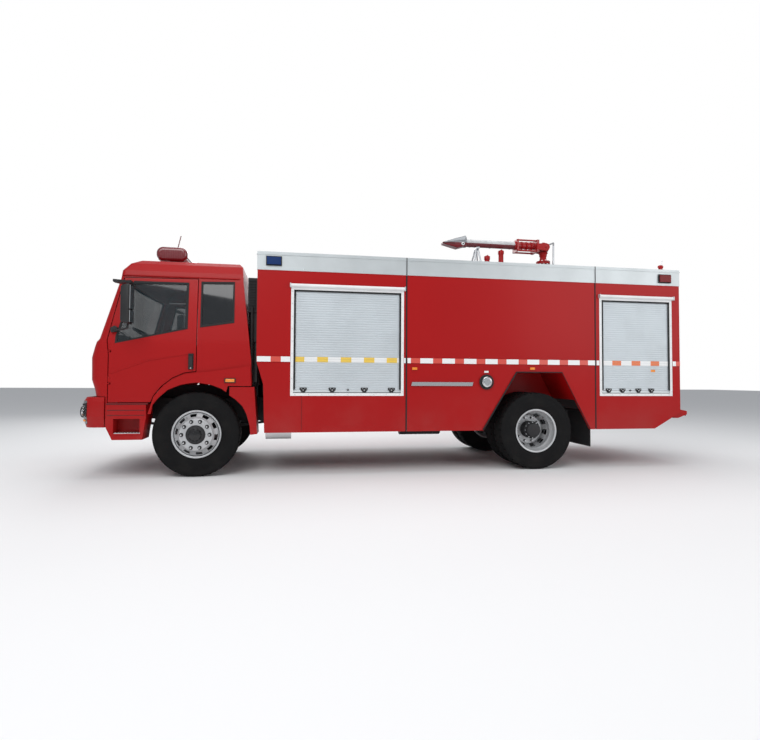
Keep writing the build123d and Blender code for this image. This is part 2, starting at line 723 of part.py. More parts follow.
def curtain_outline(z0, z1):
    """The section of a slatted curtain with its bottom bar, as depths from its face and heights."""
    points = [(-4, z0), (-4, z0 + bar_height), (0, z0 + bar_height)]
    z = z0 + bar_height
    while z + slat_pitch < z1 - 4:
        z += slat_pitch
        points.append((0, z - 8))
        points.append((4, z - 4))
        points.append((0, z))
    points.append((0, z1))
    points.append((slat_thickness, z1))
    points.append((slat_thickness, z0 + bar_height))
    points.append((bar_thickness - 4, z0 + bar_height))
    points.append((bar_thickness - 4, z0))
    return points


header_out = 16
header_height = 38
with BuildPart() as shutter_frames:
    for s0, s1, z0, z1 in (side_opening_front, side_opening_rear):
        frame_ring(side_plane(half_width), at(s1), at(s0), z0, z1)
        block(s0 - 14, s1 + 14, half_width, half_width + header_out, z1 - 6, z1 + header_height)
    mirror(about=Plane.XZ)
    back_y0, back_y1, back_z0, back_z1 = back_opening
    frame_ring(cross_plane(body_rear_station), back_y0, back_y1, back_z0, back_z1)
    block(body_rear_station, body_rear_station + header_out, back_y0 - 14, back_y1 + 14, back_z1 - 6,
          back_z1 + header_height)
save(shutter_frames, "shutter_frames")

curtain_inset = channel_wall + shutter_clearance
latch_length = 50
latch_places = {"shutter_front": (1308, 1677, 2094, 2452), "shutter_rear": (5577, 5791, 6041, 6247)}
for opening, name in ((side_opening_front, "shutter_front"), (side_opening_rear, "shutter_rear")):
    s0, s1, z0, z1 = opening
    latch_z = (z0 + shutter_face + 4, z0 + shutter_face + 30)
    section = curtain_outline(z0 + curtain_inset, z1 - curtain_inset)
    face_y = half_width - curtain_set_back
    with BuildPart() as shutter:
        corners = [(face_y - depth, z) for depth, z in section]
        extrude(cross_face(corners, s1 - curtain_inset), amount=s1 - s0 - 2 * curtain_inset)
        for s in latch_places[name]:
            block(s - latch_length / 2, s + latch_length / 2, face_y, face_y + 14, *latch_z)
    save_left_and_right(shutter, name)

with BuildPart() as shutter_back:
    section = curtain_outline(back_z0 + curtain_inset, back_z1 - curtain_inset)
    face_station = body_rear_station - curtain_set_back
    corners = [(face_station - depth, z) for depth, z in section]
    extrude(side_face(corners, back_y1 - curtain_inset), amount=back_y1 - back_y0 - 2 * curtain_inset)
    for y in (-370, 370):
        latch_y = (y - latch_length / 2, y + latch_length / 2)
        block(face_station, face_station + 14, *latch_y, *latch_z)
save(shutter_back, "shutter_back")

# Lamps on the coping and at the rear: station and height of the middle, length, height
coping_lamps = ((925, 2720, 172, 96), (6464, 2703, 176, 100))
with BuildPart() as body_lamps:
    for station, z, length, height in coping_lamps:
        block(station - length / 2, station + length / 2, coping_y, coping_y + 34, z - height / 2, z + height / 2)
    block(body_rear_station, body_rear_station + 26, 980, 1180, 820, 930)
    block(body_rear_station, body_rear_station + 30, 1090, 1170, 2480, 2560)
save_pair(body_lamps, "body_lamps")

# Filler caps on the sides of the middle part
with BuildPart() as filler_caps:
    rod((3756, half_width, 1198), (3756, half_width + 10, 1198), 97)
    rod((3756, half_width + 10, 1198), (3756, half_width + 34, 1198), 70)
save_pair(filler_caps, "filler_caps")

# Rear bumper
bumper_inner = body_rear_station - 67
bumper_section = (
    (body_rear_station, 820), (body_rear_station + rear_bumper_depth, 790),
    (body_rear_station + rear_bumper_depth, 742), (body_rear_station, 690), (bumper_inner, 690), (bumper_inner, 764),
    (body_rear_station, 764),
)
with BuildPart() as rear_bumper:
    extrude(side_face(bumper_section, 1200), amount=2400)
    block(frame_rear, bumper_inner + 5, -rail_outer_y, rail_outer_y, 690, 764)
save(rear_bumper, "rear_bumper")

# Ladder to the roof on the right of the rear wall
ladder_y = (-1120, -780)
ladder_stand_off = 83
ladder_station = body_rear_station + ladder_stand_off
ladder_top_z = body_top_z + 200
ladder_reach = 190
with BuildPart() as rear_ladder:
    for y in ladder_y:
        rod((ladder_station, y, 880), (ladder_station, y, ladder_top_z), 18)
        rod((ladder_station, y, ladder_top_z), (ladder_station - ladder_reach, y, ladder_top_z), 18)
        rod((ladder_station - ladder_reach, y, ladder_top_z + 18), (ladder_station - ladder_reach, y, deck_top_z), 18)
        for z in (960, 1700, 2380):
            rod((ladder_station, y, z), (body_rear_station, y, z), 14)
    for i in range(7):
        z = 1010 + 270 * i
        rod((ladder_station, ladder_y[0], z), (ladder_station, ladder_y[1], z), 14)
save(rear_ladder, "rear_ladder")

# Tanks hung from the rails below the front of the body
with BuildPart() as side_tanks:
    with BuildSketch(cross_plane(1163)):
        with Locations((980, 695)):
            RectangleRounded(420, 480, 90)
    extrude(amount=321)
    block(980, 1030, rail_outer_y, 800, 800, 860)
save_pair(side_tanks, "side_tanks")

with BuildPart() as air_tanks:
    rod((2680, 640, 560), (3260, 640, 560), 118)
    block(2900, 2960, rail_outer_y, 640, 690, 740)
    block(2900, 2960, 600, 680, 640, 740)
save_pair(air_tanks, "air_tanks")

# Mud flaps behind the rear wheels, each on a bar from the rail
with BuildPart() as mudflaps:
    block(5300, 5312, 610, 1205, 300, 800)
    rod((5306, rail_outer_y, 790), (5306, 1205, 790), 18)
save_pair(mudflaps, "mudflaps")

# Riser of the water gun, the rest under its barrel, and two capped tank vents
turret_gap = 6
spigot_radius = 40
flange_z = 3157
with BuildPart() as gun_riser:
    rod((gun_station, 0, deck_top_z), (gun_station, 0, deck_top_z + 24), 150)
    rod((gun_station, 0, deck_top_z), (gun_station, 0, flange_z), 74)
    rod((gun_station, 0, flange_z - 18), (gun_station, 0, flange_z), 112)
    rod((gun_station, 0, flange_z - 80), (gun_station, 0, flange_z + 1), spigot_radius + running_gap, Mode.SUBTRACT)
save(gun_riser, "gun_riser")

with BuildPart() as gun_rest:
    for side in (-1, 1):
        rod((3900, side * 170, deck_top_z - 10), (4062, side * 30, 3340), 13)
        rod((4190, side * 170, deck_top_z - 10), (4084, side * 30, 3340), 13)
    block(4048, 4098, -80, 80, 3330, 3356)
    block(3800, 4300, -250, 250, deck_top_z - 40, deck_top_z, Mode.SUBTRACT)
save(gun_rest, "gun_rest")

with BuildPart() as tank_vents:
    for station, top in ((4251, 3223), (4489, 3323)):
        rod((station, 0, deck_top_z), (station, 0, top), 40)
save(tank_vents, "tank_vents")

# Turret of the gun: it turns on the riser and carries the barrel's pins
ball_radius = 92
cheek_y = 100
pin_radius = 22
with BuildPart() as gun_turret:
    rod((gun_station, 0, flange_z + turret_gap), (gun_station, 0, flange_z + turret_gap + 18), 112)
    rod((gun_station, 0, flange_z + turret_gap), (gun_station, 0, gun_pivot_z), 46)
    rod((gun_station, 0, flange_z - 74), (gun_station, 0, flange_z + turret_gap + 4), spigot_radius)
    with Locations((at(gun_station), 0, gun_pivot_z)):
        Sphere(ball_radius)
    rod((gun_station, -128, gun_pivot_z), (gun_station, 128, gun_pivot_z), pin_radius)
    rod((gun_station + 60, 0, 3450), (5409, 0, 3504), 13)
    rod((5409, 0, 3504), (5401, 0, 3138), 13)
save(gun_turret, "gun_turret")

# Barrel of the gun: two cheeks on the pins, an open housing, the tube and the split head
barrel_z = 3424
head_outline = (
    (3890, 3490), (3870, 3530), (3700, 3480), (3494, 3412), (3494, 3388), (3736, 3326), (3860, 3364), (3890, 3364),
)
with BuildPart() as gun_barrel:
    for side in (-1, 1):
        block(5060, 5262, side * cheek_y, side * (cheek_y + 20), 3350, 3450)
        with Locations(Plane(origin=(at(gun_station), side * (cheek_y + 10), gun_pivot_z), z_dir=(0, 1, 0))):
            Cylinder(pin_radius + running_gap, 40, mode=Mode.SUBTRACT)
    block(5060, 5100, -cheek_y - 20, cheek_y + 20, 3318, 3512)
    block(4731, 4760, -96, 96, 3318, 3512)
    for y in (-1, 1):
        for z in (3330, 3500):
            rod((4740, y * 80, z), (5080, y * 80, z), 14)
    rod((5080, 0, barrel_z), (4700, 0, barrel_z), 50)
    rod((4740, 0, barrel_z), (4700, 0, barrel_z), 70)
    rod((4710, 0, barrel_z), (3870, 0, barrel_z), 61)
    extrude(side_face(head_outline, 58), amount=116)
    rod((3890, 0, barrel_z), (3870, 0, barrel_z), 70)
    rod((3825, -68, 3398), (3825, 68, 3398), 20)
    block(3480, 3700, -70, 70, 3396, 3404, Mode.SUBTRACT)
save(gun_barrel, "gun_barrel")
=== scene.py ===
import math

import bmesh
import bpy
from mathutils import Matrix, Vector


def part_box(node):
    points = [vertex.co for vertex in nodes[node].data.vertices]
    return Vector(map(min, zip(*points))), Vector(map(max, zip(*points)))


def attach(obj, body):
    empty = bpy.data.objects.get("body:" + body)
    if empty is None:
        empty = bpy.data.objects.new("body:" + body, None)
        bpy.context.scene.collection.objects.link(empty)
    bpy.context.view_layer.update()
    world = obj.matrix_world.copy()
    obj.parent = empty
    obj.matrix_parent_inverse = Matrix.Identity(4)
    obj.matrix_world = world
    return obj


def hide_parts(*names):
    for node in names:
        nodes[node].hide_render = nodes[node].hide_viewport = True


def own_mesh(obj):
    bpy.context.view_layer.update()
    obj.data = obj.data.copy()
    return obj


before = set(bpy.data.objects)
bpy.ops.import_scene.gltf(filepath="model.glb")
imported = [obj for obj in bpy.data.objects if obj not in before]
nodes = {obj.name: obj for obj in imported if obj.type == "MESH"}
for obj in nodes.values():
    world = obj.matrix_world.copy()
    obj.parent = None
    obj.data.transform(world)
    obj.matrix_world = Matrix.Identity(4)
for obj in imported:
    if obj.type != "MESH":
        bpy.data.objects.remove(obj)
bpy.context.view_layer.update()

# Lengths below are metres in the frame's axes: +X forward, +Y the driver's left, +Z up.
# A station is a distance behind the front axle.
tyreLow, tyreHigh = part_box("front_tyre_left")
frontAxleX = (tyreLow[0] + tyreHigh[0]) / 2
axleZ = (tyreLow[2] + tyreHigh[2]) / 2
tyreRadius = (tyreHigh[2] - tyreLow[2]) / 2
rearLow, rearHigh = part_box("rear_tyres_left")
wheelbase = frontAxleX - (rearLow[0] + rearHigh[0]) / 2
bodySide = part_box("body_middle")[1][1]


def at(station):
    return frontAxleX - station


class Wire:
    # one socket of a node tree, with operators that add Math nodes
    def __init__(self, paint, socket):
        self.paint = paint
        self.socket = socket

    def maths(self, operation, first, second):
        made = self.paint.tree.nodes.new("ShaderNodeMath")
        made.operation = operation
        self.paint.plug(made.inputs[0], first)
        self.paint.plug(made.inputs[1], second)
        return Wire(self.paint, made.outputs[0])

    def __add__(self, other):
        return self.maths("ADD", self, other)

    def __radd__(self, other):
        return self.maths("ADD", other, self)

    def __sub__(self, other):
        return self.maths("SUBTRACT", self, other)

    def __rsub__(self, other):
        return self.maths("SUBTRACT", other, self)

    def __mul__(self, other):
        return self.maths("MULTIPLY", self, other)

    def __rmul__(self, other):
        return self.maths("MULTIPLY", other, self)

    def __gt__(self, other):
        return self.maths("GREATER_THAN", self, other)

    def __lt__(self, other):
        return self.maths("LESS_THAN", self, other)

    def wrap(self, length):
        return self.maths("FLOORED_MODULO", self, length)

    def lesser(self, other):
        return self.maths("MINIMUM", self, other)

    def soft(self, low, high):
        # 0 at low, 1 at high, smooth between
        smooth = {"interpolation_type": "SMOOTHSTEP"}
        return self.paint.node("ShaderNodeMapRange", smooth, Value=self, From_Min=low, From_Max=high)


class Paint:
    # a material with one Principled shader
    def __init__(self, name, color, rough=0.5, metal=0.0, **sockets):
        self.material = bpy.data.materials.new(name)
        self.material.use_nodes = True
        self.tree = self.material.node_tree
        self.shader = self.tree.nodes["Principled BSDF"]
        self.shader.inputs["Base Color"].default_value = (*color, 1)
        self.shader.inputs["Roughness"].default_value = rough
        self.shader.inputs["Metallic"].default_value = metal
        for label, value in sockets.items():
            self.shader.inputs[label.replace("_", " ")].default_value = value
        self.material.diffuse_color = (*color, 1)

    def plug(self, socket, value):
        if isinstance(value, Wire):
            self.tree.links.new(value.socket, socket)
        else:
            socket.default_value = value

    def node(self, kind, settings=None, output=0, **inputs):
        made = self.tree.nodes.new(kind)
        for label, value in (settings or {}).items():
            setattr(made, label, value)
        for label, value in inputs.items():
            self.plug(made.inputs[label.replace("_", " ")], value)
        return Wire(self, made.outputs[output])

    def place(self):
        return self.node("ShaderNodeTexCoord", output=3)

    def axis(self, letter):
        return self.node("ShaderNodeSeparateXYZ", output="XYZ".index(letter), Vector=self.place())

    def noise(self, scale, detail=3.0, rough=0.5):
        return self.node("ShaderNodeTexNoise", Vector=self.place(), Scale=scale, Detail=detail, Roughness=rough)

    def mix(self, factor, a, b):
        made = self.tree.nodes.new("ShaderNodeMix")
        made.data_type = "RGBA"
        self.plug(made.inputs[0], factor)
        self.plug(made.inputs[6], a if isinstance(a, Wire) else (*a, 1))
        self.plug(made.inputs[7], b if isinstance(b, Wire) else (*b, 1))
        return Wire(self, made.outputs[2])

    def color(self, wire):
        self.plug(self.shader.inputs["Base Color"], wire)

    def rough(self, wire):
        self.plug(self.shader.inputs["Roughness"], wire)

    def bump(self, height, distance=0.001, strength=1.0):
        made = self.node("ShaderNodeBump", Height=height, Distance=distance, Strength=strength)
        self.plug(self.shader.inputs["Normal"], made)


print("frame loaded")

colors = {
    "cabRed": (0.385, 0.0040, 0.0050),
    "bodyRed": (0.390, 0.0036, 0.0044),
    "dust": (0.30, 0.25, 0.22),
    "silver": (0.60, 0.64, 0.65),
    "white": (0.86, 0.87, 0.87),
    "stripeRed": (0.66, 0.055, 0.030),
    "stripeYellow": (0.86, 0.58, 0.07),
    "stripeOrange": (0.78, 0.16, 0.03),
    "amber": (0.85, 0.24, 0.01),
    "blueLens": (0.004, 0.028, 0.130),
    "redLens": (0.30, 0.004, 0.006),
    "darkRedLens": (0.170, 0.003, 0.005),
    "ruby": (0.150, 0.003, 0.008),
    "black": (0.012, 0.012, 0.013),
    "maroon": (0.17, 0.012, 0.018),
}


def gloss(name, color, dusty=True):
    # car paint: clear coat, faint ripple, a little road dust low down
    paint = Paint(name, color, rough=0.40, Specular_IOR_Level=0.18, Coat_Weight=0.16, Coat_Roughness=0.18)
    cloud = paint.noise(2.2, 4.0)
    low = 1 - paint.axis("Z").soft(0.35, 1.25)
    dust = low * cloud.soft(0.35, 0.75) * (0.08 if dusty else 0.03)
    tone = paint.mix(paint.noise(0.9).soft(0.3, 0.7) * 0.25, color, [c * 0.86 for c in color])
    paint.color(paint.mix(dust, tone, colors["dust"]))
    paint.rough(0.40 + dust * 0.9 + cloud * 0.05)
    paint.bump(paint.noise(38.0, 2.0), 0.0006, 0.10)
    return paint.material


def metal(name, color, rough, metallic=1.0, grain=(1, 1, 1), grainScale=60.0, wear=0.0):
    # bare or painted metal with a grain stretched along an axis
    paint = Paint(name, color, rough=rough, metal=metallic)
    mapped = paint.node("ShaderNodeMapping", Vector=paint.place(), Scale=grain)
    lines = paint.node("ShaderNodeTexNoise", Vector=mapped, Scale=grainScale, Detail=4.0, Roughness=0.6)
    patches = paint.noise(3.0, 5.0)
    paint.color(paint.mix(patches.soft(0.35, 0.75) * (0.22 + wear), color, [c * 0.62 for c in color]))
    paint.rough(rough - 0.06 + lines * 0.12 + patches * 0.08)
    paint.bump(lines, 0.0003, 0.25)
    return paint.material


def plastic(name, color, rough=0.55, grainScale=420.0, depth=0.0004):
    # moulded plastic or rubber with a fine grain and faded patches
    paint = Paint(name, color, rough=rough)
    grain = paint.noise(grainScale, 2.0)
    patches = paint.noise(4.0, 5.0)
    paint.color(paint.mix(patches.soft(0.40, 0.80) * 0.55, color, [c * 1.7 + 0.006 for c in color]))
    paint.rough(rough - 0.07 + patches * 0.16)
    paint.bump(grain, depth, 0.35)
    return paint.material


def lens(name, color, ribs=220.0):
    # coloured lamp lens with moulded ribs
    paint = Paint(name, color, rough=0.14, Coat_Weight=1.0, Coat_Roughness=0.03)
    wave = paint.node("ShaderNodeTexWave", Vector=paint.place(), Scale=ribs / 6.283, Distortion=0.0)
    paint.color(paint.mix(wave * 0.35, color, [min(1, c * 1.6 + 0.02) for c in color]))
    paint.bump(wave, 0.0015, 0.4)
    return paint.material


def glazing(name, tint, alpha):
    rough = 0.03
    paint = Paint(name, tint, rough=rough, IOR=1.5, Coat_Weight=0.6, Coat_Roughness=0.02)
    film = paint.noise(1.6, 3.0).soft(0.3, 0.8)
    paint.plug(paint.shader.inputs["Alpha"], alpha + film * 0.05)
    paint.rough(rough + film * 0.03)
    return paint.material


def bands(name, share, first, second, start):
    # reflective tape: blocks of two colours along the truck with a fine cell pattern
    period = 0.302
    paint = Paint(name, first, rough=0.35, Coat_Weight=0.5, Coat_Roughness=0.1)
    along = (start - paint.axis("X")).wrap(period)
    cells = paint.node("ShaderNodeTexVoronoi", Vector=paint.place(), Scale=260.0)
    base = paint.mix(along > period * share, first, second)
    paint.color(paint.mix(cells * 0.05, base, (0.9, 0.9, 0.9)))
    paint.bump(cells, 0.0004, 0.2)
    return paint.material


def clothWeave(name, color):
    paint = Paint(name, color, rough=0.92, Sheen_Weight=0.3)
    spot = paint.place()
    warp = paint.node("ShaderNodeTexWave", {"bands_direction": "X"}, Vector=spot, Scale=120.0)
    weft = paint.node("ShaderNodeTexWave", {"bands_direction": "Z"}, Vector=spot, Scale=120.0)
    cloud = paint.noise(6.0)
    paint.color(paint.mix(cloud * 0.6, color, [c * 1.9 + 0.01 for c in color]))
    paint.bump(warp * weft, 0.0008, 0.5)
    return paint.material


def treadRubber(name):
    paint = Paint(name, (0.008, 0.008, 0.009), rough=0.82, Specular_IOR_Level=0.15)
    dust = paint.noise(5.0, 6.0).soft(0.42, 0.72)
    paint.color(paint.mix(dust * 0.30, (0.007, 0.007, 0.0075), (0.030, 0.028, 0.026)))
    paint.rough(0.74 + dust * 0.15)
    paint.bump(paint.noise(260.0, 3.0), 0.0006, 0.4)
    return paint.material


def treadPlate(name, color):
    # raised lozenges at two angles
    paint = Paint(name, color, rough=0.42, metal=0.9)
    spot = paint.place()
    turned = paint.node("ShaderNodeMapping", Vector=spot, Rotation=(0, 0, math.radians(45)), Scale=(1, 3.2, 1))
    other = paint.node("ShaderNodeMapping", Vector=spot, Rotation=(0, 0, math.radians(-45)), Scale=(1, 3.2, 1))
    first = paint.node("ShaderNodeTexVoronoi", Vector=turned, Scale=22.0)
    second = paint.node("ShaderNodeTexVoronoi", Vector=other, Scale=22.0)
    raised = 1 - first.lesser(second).soft(0.10, 0.22)
    grime = paint.noise(2.4, 5.0).soft(0.3, 0.75)
    paint.color(paint.mix(grime * 0.5, color, [c * 0.5 for c in color]))
    paint.rough(0.38 + grime * 0.25)
    paint.bump(raised, 0.002, 0.7)
    return paint.material


def lampPair(name):
    # blue lens at the front of the body, red at the rear
    paint = Paint(name, colors["redLens"], 0.30, Specular_IOR_Level=0.2, Coat_Weight=0.2, Coat_Roughness=0.10)
    wave = paint.node("ShaderNodeTexWave", Vector=paint.place(), Scale=34.0, Distortion=0.0)
    paint.color(paint.mix(paint.axis("X") > 0.0, colors["darkRedLens"], colors["blueLens"]))
    paint.bump(wave, 0.0015, 0.4)
    return paint.material


def turretPaint(name, handleStart):
    # red castings with a bare grey handle behind them
    paint = Paint(name, colors["cabRed"], rough=0.34, Specular_IOR_Level=0.3, Coat_Weight=0.2)
    grime = paint.noise(7.0, 4.0)
    tone = paint.mix(paint.axis("X") < handleStart, colors["cabRed"], (0.34, 0.35, 0.36))
    paint.color(paint.mix(grime.soft(0.4, 0.8) * 0.25, tone, (0.10, 0.07, 0.07)))
    paint.rough(0.30 + grime * 0.14)
    return paint.material


def gunBarrelLitAndShaded(name, housingEnd, headStart, axisHeight):
    # red housing; tube silver and head grey on top as painted highlight, maroon painted shade below the axis on both
    paint = Paint(name, colors["maroon"], rough=0.30, Coat_Weight=0.3)
    along = paint.axis("X")
    grime = paint.noise(7.0, 4.0)
    # painted light: the colour above the axis height is a painted highlight, the maroon below it painted shade
    upper = paint.mix(along > headStart, (0.62, 0.63, 0.64), (0.30, 0.31, 0.33))
    tube = paint.mix(paint.axis("Z") > axisHeight, colors["maroon"], upper)
    tone = paint.mix(along > housingEnd, colors["cabRed"], tube)
    paint.color(paint.mix(grime.soft(0.4, 0.8) * 0.3, tone, (0.10, 0.08, 0.08)))
    paint.rough(0.26 + grime * 0.14)
    paint.bump(paint.noise(60.0, 2.0), 0.0004, 0.2)
    return paint.material


finish = {
    "cabRed": gloss("cabRed", colors["cabRed"]),
    "bodyRed": gloss("bodyRed", colors["bodyRed"]),
    "gunRed": gloss("gunRed", colors["cabRed"], dusty=False),
    "silverPaint": metal("silverPaint", colors["silver"], 0.38, metallic=0.45, grainScale=20.0),
    "whitePaint": metal("whitePaint", colors["white"], 0.35, metallic=0.0, grainScale=20.0),
    "slatMetal": metal("slatMetal", (0.60, 0.65, 0.68), 0.46, metallic=0.35, grain=(0.04, 1, 1), grainScale=160.0),
    "wheelSilver": metal("wheelSilver", (0.60, 0.61, 0.62), 0.40, metallic=0.55, grainScale=30.0, wear=0.1),
    "castDark": metal("castDark", (0.035, 0.035, 0.037), 0.62, metallic=0.3, wear=0.3),
    "frameBlack": metal("frameBlack", (0.014, 0.014, 0.015), 0.50, metallic=0.1, wear=0.2),
    "brightMetal": metal("brightMetal", (0.70, 0.71, 0.72), 0.24, grain=(0.1, 1, 1)),
    "tankMetal": metal("tankMetal", (0.62, 0.63, 0.64), 0.30, grain=(0.1, 1, 1), wear=0.1),
    "chrome": metal("chrome", (0.80, 0.81, 0.82), 0.10),
    "gunMetal": metal("gunMetal", (0.58, 0.60, 0.62), 0.30, grain=(0.1, 1, 1)),
    "maroon": gloss("maroon", colors["maroon"], dusty=False),
    "black": plastic("black", colors["black"], 0.50),
    "blackGloss": plastic("blackGloss", colors["black"], 0.22, 300.0, 0.0001),
    "rubber": plastic("rubber", (0.010, 0.010, 0.011), 0.75, 200.0),
    "tyre": treadRubber("tyre"),
    "glass": glazing("glass", (0.030, 0.040, 0.045), 0.46),
    "lampCover": glazing("lampCover", (0.030, 0.033, 0.036), 0.42),
    "lampPair": lampPair("lampPair"),
    # barrel finish with painted light: highlight on top, painted shade under the axis
    "barrelLitAndShaded": gunBarrelLitAndShaded("barrelLitAndShaded", at(4.705), at(3.892), 3.418),
    "turretPaint": turretPaint("turretPaint", at(5.300)),
    "darkGlass": glazing("darkGlass", (0.010, 0.012, 0.014), 0.90),
    "mirrorGlass": metal("mirrorGlass", (0.85, 0.86, 0.87), 0.04),
    "clearLens": lens("clearLens", (0.74, 0.77, 0.80)),
    "amberLens": lens("amberLens", colors["amber"]),
    "redLens": lens("redLens", colors["redLens"]),
    "ruby": lens("ruby", colors["ruby"], 90.0),
    "interior": plastic("interior", (0.060, 0.060, 0.065), 0.70),
    "seatCloth": clothWeave("seatCloth", (0.035, 0.036, 0.042)),
    "deck": treadPlate("deck", (0.50, 0.51, 0.52)),
    "tapeBody": bands("tapeBody", 0.58, colors["white"], colors["stripeRed"], at(0.722)),
    "tapeYellow": bands("tapeYellow", 0.46, colors["stripeYellow"], colors["white"], at(1.180)),
    "tapeOrange": bands("tapeOrange", 0.54, colors["white"], colors["stripeOrange"], at(5.475)),
}

nodeFinish = {
    "frameBlack": "chassis_frame air_tanks",
    "castDark": "front_axle knuckle_left knuckle_right tie_rod leaf_springs rear_axle driveline",
    "wheelSilver": "front_wheel_left front_wheel_right rear_wheels_left rear_wheels_right",
    "tyre": "front_tyre_left front_tyre_right rear_tyres_left rear_tyres_right",
    "cabRed": (
        "cab_shell front_panel door_left door_right cab_fenders front_mudguards front_bumper "
        "cab_steps"
    ),
    "glass": "windscreen door_glass_left door_glass_right",
    "darkGlass": "quarter_glass",
    "black": "mirror_left mirror_right steering_wheel air_intake",
    "lampCover": "headlamps",
    "interior": "dashboard",
    "seatCloth": "seats",
    "ruby": "light_bar",
    "bodyRed": "body_front body_middle body_rear rear_bumper",
    "silverPaint": "body_coping",
    "deck": "roof_deck",
    "whitePaint": "shutter_frames",
    "slatMetal": (
        "shutter_front_left shutter_front_right shutter_rear_left shutter_rear_right "
        "shutter_back"
    ),
    "lampPair": "body_lamps",
    "brightMetal": "filler_caps rear_ladder",
    "tankMetal": "side_tanks",
    "rubber": "mudflaps",
    "gunRed": "gun_riser tank_vents",
    "gunMetal": "gun_rest",
    "turretPaint": "gun_turret",
    "barrelLitAndShaded": "gun_barrel",
}
for finishName, names in nodeFinish.items():
    for nodeName in names.split():
        mesh = nodes[nodeName].data
        mesh.materials.clear()
        mesh.materials.append(finish[finishName])
print("finishes made", len(finish))

camera = {
    "place": (at(1.194), 7.895, 1.223), "yaw": 9.634, "pitch": 1.849, "roll": 0.331,
    "focalPixels": 515.8, "middle": (381.9, 362.9), "image": (760, 740),
}
yaw, pitch, roll = (math.radians(camera[key]) for key in ("yaw", "pitch", "roll"))
forward = Vector((-math.sin(yaw) * math.cos(pitch), -math.cos(yaw) * math.cos(pitch), math.sin(pitch)))
right = Vector((-math.cos(yaw), math.sin(yaw), 0))
up = right.cross(forward)
turnedRight = right * math.cos(roll) + up * math.sin(roll)
turnedUp = up * math.cos(roll) - right * math.sin(roll)
imageWidth, imageHeight = camera["image"]
cameraData = bpy.data.cameras.new("photoCamera")
cameraData.sensor_fit = "HORIZONTAL"
cameraData.sensor_width = 36
cameraData.lens = camera["focalPixels"] / imageWidth * 36
cameraData.shift_x = (imageWidth / 2 - camera["middle"][0]) / imageWidth
cameraData.shift_y = (camera["middle"][1] - imageHeight / 2) / imageWidth
cameraData.clip_end = 200
cameraObject = bpy.data.objects.new("photoCamera", cameraData)
turn = Matrix((turnedRight, turnedUp, -forward)).transposed().to_4x4()
cameraObject.matrix_world = Matrix.Translation(camera["place"]) @ turn
bpy.context.collection.objects.link(cameraObject)
bpy.context.scene.camera = cameraObject
bpy.context.scene.view_settings.view_transform = "Standard"

lamps = {
    "key": {"place": (4.5, 9.0, 8.5), "size": 7.0, "power": 520},
    "fill": {"place": (-8.0, 8.0, 5.0), "size": 7.0, "power": 240},
    "back": {"place": (2.0, -9.0, 7.0), "size": 7.0, "power": 380},
    "top": {"place": (0.0, 0.0, 10.0), "size": 9.0, "power": 420},
}
for lampName, lamp in lamps.items():
    lampData = bpy.data.lights.new(lampName, "AREA")
    lampData.shape = "SQUARE"
    lampData.size = lamp["size"]
    lampData.energy = lamp["power"]
    lampObject = bpy.data.objects.new(lampName, lampData)
    lampObject.location = lamp["place"]
    aim = Vector((0, 0, 1.2)) - Vector(lamp["place"])
    lampObject.rotation_euler = aim.to_track_quat("-Z", "Y").to_euler()
    bpy.context.collection.objects.link(lampObject)

# a soft world light, shown as plain white to the camera and through the glass
world = bpy.data.worlds.new("studio")
world.use_nodes = True
bpy.context.scene.world = world
tree = world.node_tree
background = tree.nodes["Background"]
background.inputs["Color"].default_value = (0.92, 0.95, 1.0, 1)
background.inputs["Strength"].default_value = 0.42
shown = tree.nodes.new("ShaderNodeBackground")
shown.inputs["Color"].default_value = (1, 1, 1, 1)
shown.inputs["Strength"].default_value = 1.0
rays = tree.nodes.new("ShaderNodeLightPath")
joined = tree.nodes.new("ShaderNodeMath")
joined.operation = "MAXIMUM"
tree.links.new(rays.outputs["Is Camera Ray"], joined.inputs[0])
tree.links.new(rays.outputs["Is Transmission Ray"], joined.inputs[1])
mixed = tree.nodes.new("ShaderNodeMixShader")
tree.links.new(joined.outputs[0], mixed.inputs[0])
tree.links.new(background.outputs[0], mixed.inputs[1])
tree.links.new(shown.outputs[0], mixed.inputs[2])
tree.links.new(mixed.outputs[0], tree.nodes["World Output"].inputs["Surface"])

floorMesh = bpy.data.meshes.new("floor")
floorShape = bmesh.new()
bmesh.ops.create_grid(floorShape, x_segments=1, y_segments=1, size=60)
floorShape.to_mesh(floorMesh)
floorShape.free()
floor = bpy.data.objects.new("floor", floorMesh)
floorPaint = Paint("floorPaint", (0.90, 0.90, 0.90), rough=0.9)
floorMesh.materials.append(floorPaint.material)
bpy.context.collection.objects.link(floor)
print("studio ready")


def piece(name, shape, finishes, body, replaced=(), smooth=35, bevel=0.0, solid=0.0):
    # turns a bmesh into a finished object that rides on a body
    mesh = bpy.data.meshes.new(name)
    shape.to_mesh(mesh)
    shape.free()
    for finishName in finishes:
        mesh.materials.append(finish[finishName])
    made = bpy.data.objects.new(name, mesh)
    bpy.context.collection.objects.link(made)
    mesh.shade_smooth()
    mesh.set_sharp_from_angle(angle=math.radians(smooth))
    if solid:
        wall = made.modifiers.new("wall", "SOLIDIFY")
        wall.thickness = solid
        wall.offset = -1
    if bevel:
        edge = made.modifiers.new("edge", "BEVEL")
        edge.width = bevel
        edge.segments = 2
        edge.limit_method = "ANGLE"
        edge.angle_limit = math.radians(40)
        edge.harden_normals = True
    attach(made, body)
    if replaced:
        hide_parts(*replaced)
    return made


def paintFaces(shape, before, material, recalculate=False):
    # gives the faces made since before their finish
    made = [face for face in shape.faces if face not in before]
    if recalculate:
        bmesh.ops.recalc_face_normals(shape, faces=made)
    for face in made:
        face.material_index = material
    return made


def roundEdges(shape, verts, radius, segments):
    edges = list({edge for vert in verts for edge in vert.link_edges})
    bmesh.ops.bevel(shape, geom=edges, offset=radius, offset_type="OFFSET", segments=segments, profile=0.5,
                    affect="EDGES", material=-1)


